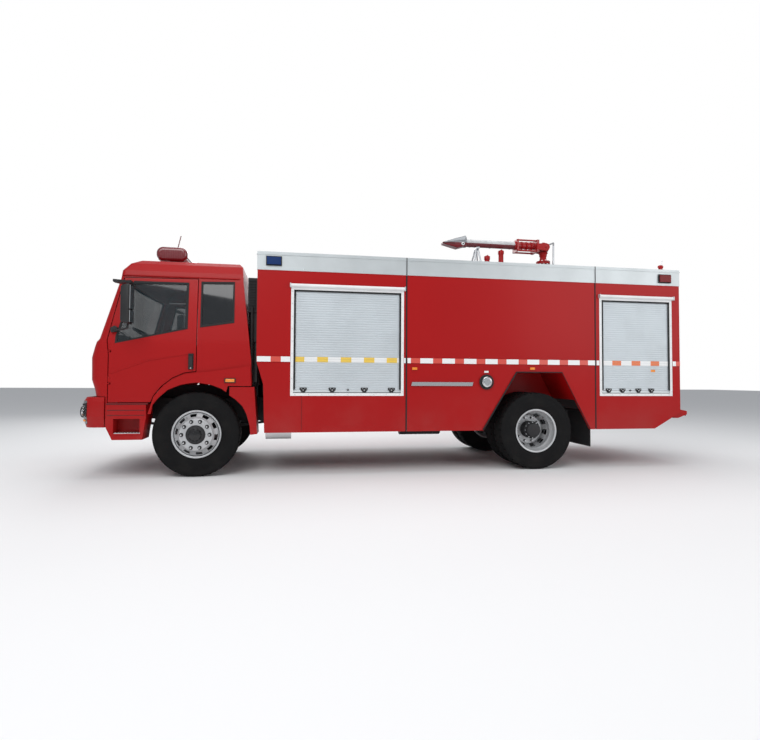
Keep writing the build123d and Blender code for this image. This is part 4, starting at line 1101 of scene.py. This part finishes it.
shutter = {
    "setBack": 0.020, "inset": 0.0103, "pitch": 0.0305, "barHeight": 0.062, "top": 2.387, "travel": 1.2,
    "latches": {"front": (1.308, 1.677, 2.094, 2.452), "rear": (5.577, 5.791, 6.041, 6.247), "back": (-0.370, 0.370)},
    "keys": {"front": 1.880, "rear": 5.915, "back": 0.0}, "latchRise": 0.078, "tapeMargin": 0.040,
    # one slat as (depth, rise), and a latch plate as (along, rise)
    "slat": ((0.0026, 0.0004), (0.0010, 0.0014), (0.0002, 0.0040), (-0.0006, 0.0110), (-0.0006, 0.0190),
             (0.0000, 0.0250), (0.0008, 0.0280), (0.0026, 0.0292), (0.0030, 0.0302)),
    "latch": ((-0.046, 0.026), (0.046, 0.026), (0.046, 0.004), (0.022, -0.030), (-0.022, -0.030), (-0.046, 0.004)),
}


def addPlateBox(shape, place, along, half, depth0, depth1, low, high, material):
    addBox(shape, place(along - half, depth0, low), place(along + half, depth1, high), material)


def makeShutter(node, kind, place, start, end, low, tapeFinish):
    # a roller shutter's slatted curtain, and the bottom bar with its latches.
    # place(along, depth, z) gives a point: along the opening, depth inwards from the curtain's face
    barLow = low + shutter["inset"]
    barTop = barLow + shutter["barHeight"]
    first, last = start + shutter["inset"] + 0.002, end - shutter["inset"] - 0.002
    across = place(last, 0, 0) - place(first, 0, 0)
    shape = bmesh.new()
    outline = []
    z = barTop
    while z + 0.001 < shutter["top"]:
        outline += [(depth, z + rise) for depth, rise in shutter["slat"] if z + rise < shutter["top"]]
        z += shutter["pitch"]
    outline += [(0.010, outline[-1][1]), (0.010, barTop)]
    corners = [place(first, depth, height) for depth, height in outline]
    addSlab(shape, corners, across, 0)
    if tapeFinish:
        tapeLow, tapeHigh = body["tape"]
        tapeStart, tapeEnd = start + shutter["tapeMargin"], end - shutter["tapeMargin"]
        z = barTop
        while z < tapeHigh:
            stripLow, stripHigh = max(tapeLow, z + 0.0012), min(tapeHigh, z + shutter["pitch"] - 0.0006)
            if stripHigh - stripLow > 0.004:
                strip = [place(tapeStart, -0.0016, height) for height in (stripLow, stripHigh)]
                strip += [place(tapeStart, 0.0004, height) for height in (stripHigh, stripLow)]
                addSlab(shape, strip, place(tapeEnd, 0, 0) - place(tapeStart, 0, 0), 1)
            z += shutter["pitch"]
    if kind == "rear":
        addPlateBox(shape, place, 6.280, 0.034, -0.0034, -0.0005, 1.354, 1.386, 2)
    length = shutter["top"] - barTop
    curtain = piece(f"curtain_{node[8:]}", shape, ["slatMetal", tapeFinish or "slatMetal", "amberLens"], "chassis",
                    smooth=28)
    anchor = place((start + end) / 2, 0, shutter["top"])
    tuple(anchor)
    round((length - shutter["travel"]) / length, 4)
    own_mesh(curtain)
    shape = bmesh.new()
    section = (
        (-0.0040, barLow + 0.006), (-0.0040, barTop - 0.010), (-0.0010, barTop - 0.004), (0.0040, barTop),
        (0.0200, barTop), (0.0200, barLow + 0.002), (0.0060, barLow + 0.002), (0.0030, barLow + 0.006),
    )
    addSlab(shape, [place(first, depth, z) for depth, z in section], across, 0)
    sealLow, sealHigh = barLow + 0.0006, barLow + 0.0345
    section = ((-0.0046, sealHigh), (0.018, sealHigh), (0.018, sealLow), (-0.0046, sealLow))
    addSlab(shape, [place(first, depth, z) for depth, z in section], across, 1)
    latchZ = low + shutter["latchRise"]
    for along in shutter["latches"][kind]:
        plate = [place(along + wide, -0.0042, latchZ + rise) for wide, rise in shutter["latch"]]
        addSlab(shape, plate, place(0, -0.0040, 0) - place(0, 0, 0), 1)
        addPlateBox(shape, place, along, 0.013, -0.0165, -0.0080, latchZ - 0.026, latchZ + 0.014, 1)
        for shift in (-0.022, 0.022):
            head, tip = (place(along + shift, depth, latchZ + 0.014) for depth in (-0.007, -0.0125))
            addRod(shape, head, tip, 0.006, 2, sides=12)
        addPlateBox(shape, place, along, 0.008, -0.0170, -0.0160, latchZ - 0.010, latchZ + 0.004, 2)
    key = shutter["keys"][kind]
    addRod(shape, place(key, -0.003, latchZ), place(key, -0.010, latchZ), 0.013, 1, sides=24)
    addPlateBox(shape, place, key, 0.0020, -0.0106, -0.0098, latchZ - 0.007, latchZ + 0.007, 2)
    piece(f"bar_{node[8:]}", shape, ["silverPaint", "black", "brightMetal"], node, (node,),
          bevel=0.0010)


def sidePlace(side):
    def place(along, depth, z):
        return Vector((at(along), side * (bodySide - shutter["setBack"] - depth), z))
    return place


def backPlace(along, depth, z):
    return Vector((at(body["rear"] - shutter["setBack"] - depth), along, z))


for kind, tapeFinish in (("front", "tapeYellow"), ("rear", "tapeOrange")):
    start, end, low, _ = body["lockers"][kind]
    for side, word in ((1, "left"), (-1, "right")):
        makeShutter(f"shutter_{kind}_{word}", kind, sidePlace(side), start, end, low, tapeFinish)
makeShutter("shutter_back", "back", backPlace, -0.640, 0.640, 1.010, None)
print("shutters made")

# tape, lamps, reflectors and rivets on the rear wall and the rear bumper
shape = bmesh.new()
rear = at(body["rear"])
low, high = body["tape"]
for y0, y1 in ((-1.236, -0.980), (-0.660, -0.644), (0.644, 1.236)):
    addBox(shape, (rear - 0.0012, y0, low), (rear, y1, high), 1)
for side in (-1, 1):
    addBox(shape, (rear - 0.028, side * 0.985, 0.8225), (rear - 0.030, side * 1.175, 0.9275), 2)
    addBox(shape, (rear - 0.006, side * 0.972, 0.812), (rear + 0.020, side * 1.188, 0.990), 3)
    addRod(shape, (rear, side * 1.130, 2.520), (rear - 0.036, side * 1.130, 2.520), 0.036, 2, sides=28)
    for z in (1.060, 1.180):
        addRod(shape, (rear, side * 1.080, z), (rear - 0.010, side * 1.080, z), 0.032, 2, sides=28)
for y in (-0.62228, 0.62228):
    rivetRow(shape, (rear - 0.003, y, 1.07), (rear - 0.003, y, 2.34), 9, (-1, 0, 0), 3)
bumperLow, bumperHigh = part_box("rear_bumper")
for side in (-1, 1):
    addBox(shape, (bumperLow[0] - 0.002, side * 0.980, bumperLow[2] + 0.030),
           (bumperLow[0] + 0.001, side * 1.180, bumperHigh[2] - 0.030), 2)
for index in range(5):
    y0 = -0.90 + index * 0.40
    addBox(shape, (bumperLow[0] - 0.001, y0, bumperLow[2] + 0.040),
           (bumperLow[0] + 0.001, y0 + 0.20, bumperHigh[2] - 0.040), 1)
piece("rear_trim", shape, ["whitePaint", "redLens", "redLens", "rubber"], "chassis", bevel=0.0010)

# clamps that hold the ladder's stiles
ladderLow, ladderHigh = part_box("rear_ladder")
shape = bmesh.new()
for y in (ladderLow[1] + 0.016, ladderHigh[1] - 0.016):
    for z in (1.10, 1.75, 2.40):
        addBox(shape, (rear - 0.004, y - 0.030, z - 0.035), (rear, y + 0.030, z + 0.035), 0)
        for rise in (-0.022, 0.022):
            addRod(shape, (rear - 0.004, y, z + rise), (rear - 0.010, y, z + rise), 0.008, 0, sides=6)
piece("ladder_plates", shape, ["brightMetal"], "chassis", bevel=0.001)

# hatch lids, handles and hinges on the deck, and the coping's rivets
hatch = {"stations": (1.500, 2.300, 3.100), "near": 0.388, "far": 0.892, "hingeY": 0.376, "handleY": 0.840}
shape = bmesh.new()
deckTop = body["deck"]
lidTop, gripTop = deckTop + 0.044, deckTop + 0.085
for s in hatch["stations"]:
    for side in (-1, 1):
        near, far = side * hatch["near"], side * hatch["far"]
        addBox(shape, (at(s + 0.008), near, deckTop + 0.040), (at(s + 0.512), far, deckTop + 0.046), 1)
        y = side * hatch["hingeY"]
        for shift in (0.12, 0.40):
            addRod(shape, (at(s + shift - 0.05), y, lidTop), (at(s + shift + 0.05), y, lidTop), 0.009, 0)
        y = side * hatch["handleY"]
        grip = ((0.19, lidTop), (0.19, gripTop), (0.33, gripTop), (0.33, lidTop))
        addPipe(shape, [Vector((at(s + shift), y, z)) for shift, z in grip], 0.008)
for side in (-1, 1):
    rivetRow(shape, (at(0.80), side * 1.2505, 2.625), (at(6.62), side * 1.2505, 2.625), 24, (0, side, 0))
piece("roof_details", shape, ["brightMetal", "deck"], "chassis", bevel=0.0015)
print("rear and roof dressed")

# base, feet and aerial foot of the light bar
shape = bmesh.new()
barLow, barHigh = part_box("light_bar")
for y in (-0.430, 0.430):
    addBox(shape, (at(-0.520), y - 0.012, 2.766), (at(-0.320), y + 0.012, 2.776), 0)
base = ((-0.606, 2.850), (-0.600, 2.800), (-0.560, 2.772), (-0.274, 2.772), (-0.234, 2.800), (-0.228, 2.850))
addSlab(shape, [(at(s), -0.700, z) for s, z in base], (0, 1.400, 0), 1)
addRod(shape, (at(-0.560), 0, 2.900), (at(-0.556), 0, 2.985), 0.022, 0)
piece("light_bar_base", shape, ["black", "silverPaint"], "chassis", bevel=0.004)

# ribbed intake hose with its louvred head, and the lines between the cab and the body
shape = bmesh.new()
duct = [Vector((at(0.660), 1.020, 1.250)), Vector((at(0.660), 1.020, 2.180)), Vector((at(0.655), 0.960, 2.420))]
addPipe(shape, duct, 0.052, 0, sides=28)
for index in range(14):
    z = 1.32 + index * 0.055
    addTurned(shape, ((-0.010, 0.053), (0, 0.060), (0.010, 0.053)), (at(0.660), 1.020, z), 28, 0, axis=(0, 0, 1),
              out=(1, 0, 0))
addRod(shape, (at(0.655), 1.145, 1.300), (at(0.655), 1.145, 2.140), 0.016, 0)
addBox(shape, (at(0.612), 1.121, 2.100), (at(0.700), 1.127, 2.500), 0)
for index in range(11):
    z = 2.13 + index * 0.034
    addBox(shape, (at(0.616), 1.125, z), (at(0.696), 1.136, z + 0.014), 0)
for side in (-1, 1):
    # air lines and a valve block hung between the cab and the body
    addBox(shape, (at(0.638), side * 0.480, 0.700), (at(0.702), side * 1.030, 1.420), 0)
    for y, s in ((1.052, 0.650), (1.078, 0.676), (1.050, 0.694)):
        addPipe(shape, [Vector((at(s), side * y, 1.400)), Vector((at(s), side * y, 0.760)),
                        Vector((at(s), side * (y - 0.120), 0.690))], 0.011, 0, sides=12)
    addBox(shape, (at(0.652), side * 1.030, 0.900), (at(0.694), side * 1.105, 0.985), 2)
    for z in (0.830, 0.880, 1.005, 1.050):
        foot, head = ((at(0.673), side * 1.092, z + rise) for rise in (-0.014, 0.014))
        addRod(shape, foot, head, 0.016, 1, sides=12)
    addRod(shape, (at(0.673), side * 1.080, 0.942), (at(0.673), side * 1.125, 0.942), 0.020, 1, sides=12)
piece("intake_duct", shape, ["rubber", "brightMetal", "castDark"], "chassis", bevel=0.001)
print("cab back dressed")

gun = {
    "turnStation": 5.222, "pivotZ": 3.400, "barrelZ": 3.424, "flangeZ": 3.157, "collars": (4.640, 4.300, 3.960),
    "neck": ((0.024, 0.046), (0.024, 0.078), (0.034, 0.074), (0.050, 0.058), (0.080, 0.052), (0.100, 0.052),
             (0.112, 0.060), (0.124, 0.062), (0.136, 0.060), (0.150, 0.066), (0.165, 0.080)),
    "cheek": ((5.060, 3.356), (5.060, 3.444), (5.150, 3.456), (5.222, 3.462), (5.268, 3.440), (5.284, 3.400),
              (5.268, 3.360), (5.222, 3.338), (5.150, 3.344)),
    "upperJaw": ((3.880, 3.524), (3.705, 3.474), (3.520, 3.416), (3.520, 3.406), (3.700, 3.440), (3.860, 3.462)),
    "lowerJaw": ((3.860, 3.372), (3.735, 3.334), (3.520, 3.384), (3.520, 3.394), (3.720, 3.372), (3.850, 3.392)),
    "vents": ((4.251, 3.223), (4.489, 3.323)),
}
turnX = at(gun["turnStation"])
upright = {"axis": (0, 0, 1), "out": (1, 0, 0)}


def boltCircle(shape, radius, count, low, high, shift=0.0):
    # bolts round the gun's turning axis
    for index in range(count):
        turn = math.tau * (index + shift) / count
        x, y = turnX + radius * math.cos(turn), radius * math.sin(turn)
        addRod(shape, (x, y, low), (x, y, high), 0.0105, 1, sides=6)


# flange bolts, neck, trunnion caps and handle of the turret
shape = bmesh.new()
pivot = Vector((turnX, 0, gun["pivotZ"]))
flange = gun["flangeZ"]
boltCircle(shape, 0.094, 10, flange + 0.023, flange + 0.036, 0.5)
addTurned(shape, gun["neck"], (turnX, 0, flange), 48, 0, **upright)
for side in (-1, 1):
    disc = ((0.086, 0.0005), (0.086, 0.066), (0.090, 0.070), (0.094, 0.066), (0.094, 0.0005))
    addTurned(shape, disc, pivot, 40, 0, axis=(0, side, 0))
    addRod(shape, pivot + Vector((0, side * 0.126, 0)), pivot + Vector((0, side * 0.134, 0)), 0.018, 0, sides=6)
addTurned(shape, ((-0.012, 0.093), (-0.012, 0.099), (0.012, 0.099), (0.012, 0.093)), pivot, 48, 0, closed=True,
          axis=(1, 0, 0))
addRod(shape, (at(5.4065), 0, 3.452), (at(5.404), 0, 3.150), 0.0150, 2, sides=24)
piece("turret_details", shape, ["gunRed", "brightMetal", "gunMetal"], "gun_turret", bevel=0.0015)

# collars, housing bolts and fins, cheeks, and the head's jaws with their pins
shape = bmesh.new()
zAxis = gun["barrelZ"]
for s in gun["collars"]:
    ring = ((-0.014, 0.060), (-0.014, 0.0630), (-0.010, 0.0645), (0.010, 0.0645), (0.014, 0.0630), (0.014, 0.060))
    addTurned(shape, ring, (at(s), 0, zAxis), 40, 6, axis=(1, 0, 0))
for s in (4.745, 5.078):
    for y in (-0.082, 0.082):
        for z in (3.332, 3.498):
            addRod(shape, (at(s - 0.014), y, z), (at(s + 0.022), y, z), 0.017, 0, sides=6)
for s in (4.84, 4.92, 5.00):
    ring = ((-0.008, 0.050), (-0.008, 0.072), (0.008, 0.072), (0.008, 0.050))
    addTurned(shape, ring, (at(s), 0, zAxis), 36, 0, axis=(1, 0, 0))
for side in (-1, 1):
    addSlab(shape, [(at(s), side * 0.1205, z) for s, z in gun["cheek"]], (0, side * 0.004, 0), 0)
    # the lower jaw's maroon is painted shade under the axis, matching the head; the upper jaw is grey metal
    for outline, material in ((gun["upperJaw"], 2), (gun["lowerJaw"], 3)):
        addSlab(shape, [(at(s), side * 0.058, z) for s, z in outline], (0, side * 0.007, 0), material)
    pin = Vector((at(3.825), side * 0.058, 3.398))
    cover = ((0.004, 0.027), (0.013, 0.025), (0.015, 0.018), (0.015, 0.0005))
    addTurned(shape, cover, pin, 32, 4, axis=(0, side, 0))
    addRod(shape, pin + Vector((0, side * 0.012, 0)), pin + Vector((0, side * 0.018, 0)), 0.012, 5, sides=20)
    for s in (3.66, 3.74, 3.82):
        z = 3.4675 - (3.82 - s) * 0.26
        addRod(shape, (at(s), side * 0.064, z), (at(s), side * 0.068, z), 0.006, 1, sides=6)
finishes = ["gunRed", "brightMetal", "gunMetal", "maroon", "whitePaint", "black", "barrelLitAndShaded"]
piece("barrel_details", shape, finishes, "gun_barrel", bevel=0.0012)

# bolts of the riser's two flanges, and the caps of the tank vents
shape = bmesh.new()
boltCircle(shape, 0.128, 12, 2.663, 2.676)
boltCircle(shape, 0.094, 10, flange - 0.030, flange - 0.017)
for s, top in gun["vents"]:
    cap = ((-0.050, 0.040), (-0.050, 0.048), (-0.004, 0.048), (0.004, 0.044), (0.007, 0.030), (0.008, 0.0005))
    addTurned(shape, cap, (at(s), 0, top), 36, 0, **upright)
    addBox(shape, (at(s) - 0.010, -0.034, top + 0.004), (at(s) + 0.010, 0.034, top + 0.020), 0)
piece("roof_pipes", shape, ["gunRed", "brightMetal"], "chassis", bevel=0.0015)

# the small pipe with its rod above the rear of the coping
shape = bmesh.new()
addRod(shape, (at(6.462), 1.180, 2.840), (at(6.462), 1.180, 2.915), 0.028, 0, sides=28)
addRod(shape, (at(6.496), 1.180, 2.892), (at(6.428), 1.180, 2.892), 0.019, 0, sides=20)
addRod(shape, (at(6.470), 1.180, 2.905), (at(6.490), 1.180, 2.985), 0.007, 1, sides=12)
piece("rear_pipe", shape, ["gunRed", "brightMetal"], "chassis", bevel=0.002)
print("gun dressed")

seat = {"middle": 0.640, "half": 0.245, "cuts": 15, "round": 0.045}


def padForm(low, high, crown, channels, axisUp):
    # a stuffed block: rounded edges, crowned faces, sides pulled in, and sewn channels on its top
    low, high = Vector(low), Vector(high)
    middle, half = (low + high) / 2, (high - low) / 2
    shape = bmesh.new()
    bmesh.ops.create_cube(shape, size=2)
    bmesh.ops.subdivide_edges(shape, edges=shape.edges[:], cuts=seat["cuts"], use_grid_fill=True)
    for vert in shape.verts:
        u = vert.co.copy()
        spot = Vector([u[i] * half[i] for i in range(3)])
        core = Vector([max(-half[i] + seat["round"], min(half[i] - seat["round"], spot[i])) for i in range(3)])
        out = spot - core
        if out.length > 1e-9:
            spot = core + out.normalized() * min(seat["round"], max(abs(c) for c in out))
        for i in range(3):
            others = [j for j in range(3) if j != i]
            rise = (1 - u[others[0]] ** 2) * (1 - u[others[1]] ** 2)
            share = abs(u[i]) ** 3
            amount = crown if i == axisUp else crown * 0.35
            spot[i] += math.copysign(1, u[i]) * rise * share * amount if u[i] else 0
        if u[axisUp] > 0.6:
            for place in channels:
                spot[axisUp] -= 0.013 * math.exp(-((u[1] - place) / 0.05) ** 2) * u[axisUp]
        vert.co = middle + spot
    return shape


def pad(name, low, high, crown, channels=(), axisUp=2, replaced=()):
    form = padForm(low, high, crown, channels, axisUp)
    made = piece(name, form, ["seatCloth"], "chassis", replaced, smooth=60)


for side, word in ((1, "driver"), (-1, "passenger")):
    middle = side * seat["middle"]
    y0, y1 = middle - seat["half"], middle + seat["half"]
    pad(f"cushion_{word}", (at(0.070), y0, 1.475), (at(-0.410), y1, 1.598), 0.022, (-0.52, 0.52),
        replaced=("seats",) if word == "driver" else ())
    pad(f"back_{word}", (at(0.078), y0 + 0.005, 1.590), (at(-0.035), y1 - 0.005, 2.118), 0.020, (-0.50, 0.50),
        axisUp=0)
    pad(f"headrest_{word}", (at(0.072), middle - 0.125, 2.150), (at(-0.012), middle + 0.125, 2.286), 0.012, axisUp=0)
    shape = bmesh.new()
    for y in (middle - 0.07, middle + 0.07):
        addRod(shape, (at(0.030), y, 2.080), (at(0.030), y, 2.180), 0.007, 1)
    addBox(shape, (at(0.030), y0 + 0.045, 1.192), (at(-0.370), y1 - 0.045, 1.440), 0)
    addBox(shape, (at(0.060), y0 + 0.015, 1.440), (at(-0.400), y1 - 0.015, 1.480), 0)
    inner = middle - side * seat["half"]
    addRod(shape, (at(-0.20), inner, 1.465), (at(-0.20), inner - side * 0.012, 1.465), 0.035, 0, sides=28)
    piece(f"seat_base_{word}", shape, ["interior", "brightMetal"], "chassis", bevel=0.006)
pad("bench_cushion", (at(0.505), -0.945, 1.478), (at(0.235), 0.945, 1.602), 0.016, (-0.34, 0.34))
pad("bench_back", (at(0.518), -0.940, 1.600), (at(0.448), 0.940, 2.140), 0.014, (-0.34, 0.34), axisUp=0)
shape = bmesh.new()
addBox(shape, (at(0.535), -0.945, 1.423), (at(0.232), 0.945, 1.482), 0)
piece("bench_base", shape, ["interior"], "chassis", bevel=0.006)

# steering wheel: a rim, two spokes, the boss and the column with its stalks
column = {"top": (-0.720, 0.640, 1.760), "end": (-0.940, 0.640, 1.383), "rim": 0.214, "grip": 0.0145}
shape = bmesh.new()
top, end = (Vector((at(s), y, z)) for s, y, z in (column["top"], column["end"]))
way = (top - end).normalized()
across = Vector((0, 1, 0))
lift = way.cross(across).normalized()
turns = [math.tau * index / 14 for index in range(14)]
ring = [(0.012 + column["grip"] * math.sin(turn), column["rim"] + column["grip"] * math.cos(turn)) for turn in turns]
addTurned(shape, ring, top, 72, 0, closed=True, axis=way, out=across)
for side in (-1, 1):
    spoke = [top + across * side * 0.040 + lift * 0.020, top + across * side * 0.206 + lift * 0.012,
             top + across * side * 0.206 - lift * 0.012, top + across * side * 0.040 - lift * 0.030]
    addSlab(shape, spoke, way * 0.016, 0)
boss = ((-0.030, 0.028), (-0.020, 0.050), (0.000, 0.064), (0.012, 0.064), (0.022, 0.054), (0.026, 0.0005))
addTurned(shape, boss, top, 40, 0, axis=way, out=across)
addRod(shape, end, top - way * 0.02, 0.028, 0, sides=28)
addRod(shape, end, end + way * 0.20, 0.044, 0, sides=28)
stalk = top - way * 0.070
for side in (1, -1):
    addRod(shape, stalk, stalk + across * side * 0.150 + lift * 0.020, 0.007, 0)
piece("steering_wheel_dressed", shape, ["black"], "chassis", ("steering_wheel",), smooth=50,
      bevel=0.001)

# dashboard: instrument binnacle, dials, vents, radio and glove box
shape = bmesh.new()
binnacle = ((-0.905, 1.650), (-0.945, 1.762), (-1.010, 1.778), (-1.110, 1.700), (-0.935, 1.638))
addSlab(shape, [(at(s), 0.430, z) for s, z in binnacle], (0, 0.420, 0), 0)
for y in (0.545, 0.735):
    spot = Vector((at(-0.926), y, 1.700))
    facing = Vector((-0.94, 0, 0.34))
    addTurned(shape, ((0.002, 0.0005), (0.003, 0.058), (0.007, 0.066), (0.002, 0.068)), spot, 36, 1, axis=facing)
for y in (-1.02, -0.30, 0.20, 1.02):
    for index in range(5):
        z = 1.560 + index * 0.014
        addBox(shape, (at(-0.905), y - 0.060, z), (at(-0.896), y + 0.060, z + 0.007), 1)
addBox(shape, (at(-0.903), -0.145, 1.520), (at(-0.893), 0.045, 1.610), 1)
addBox(shape, (at(-0.903), -0.900, 1.515), (at(-0.895), -0.430, 1.625), 0)
piece("dashboard_details", shape, ["interior", "blackGloss"], "chassis", bevel=0.003)
print("cab interior dressed")
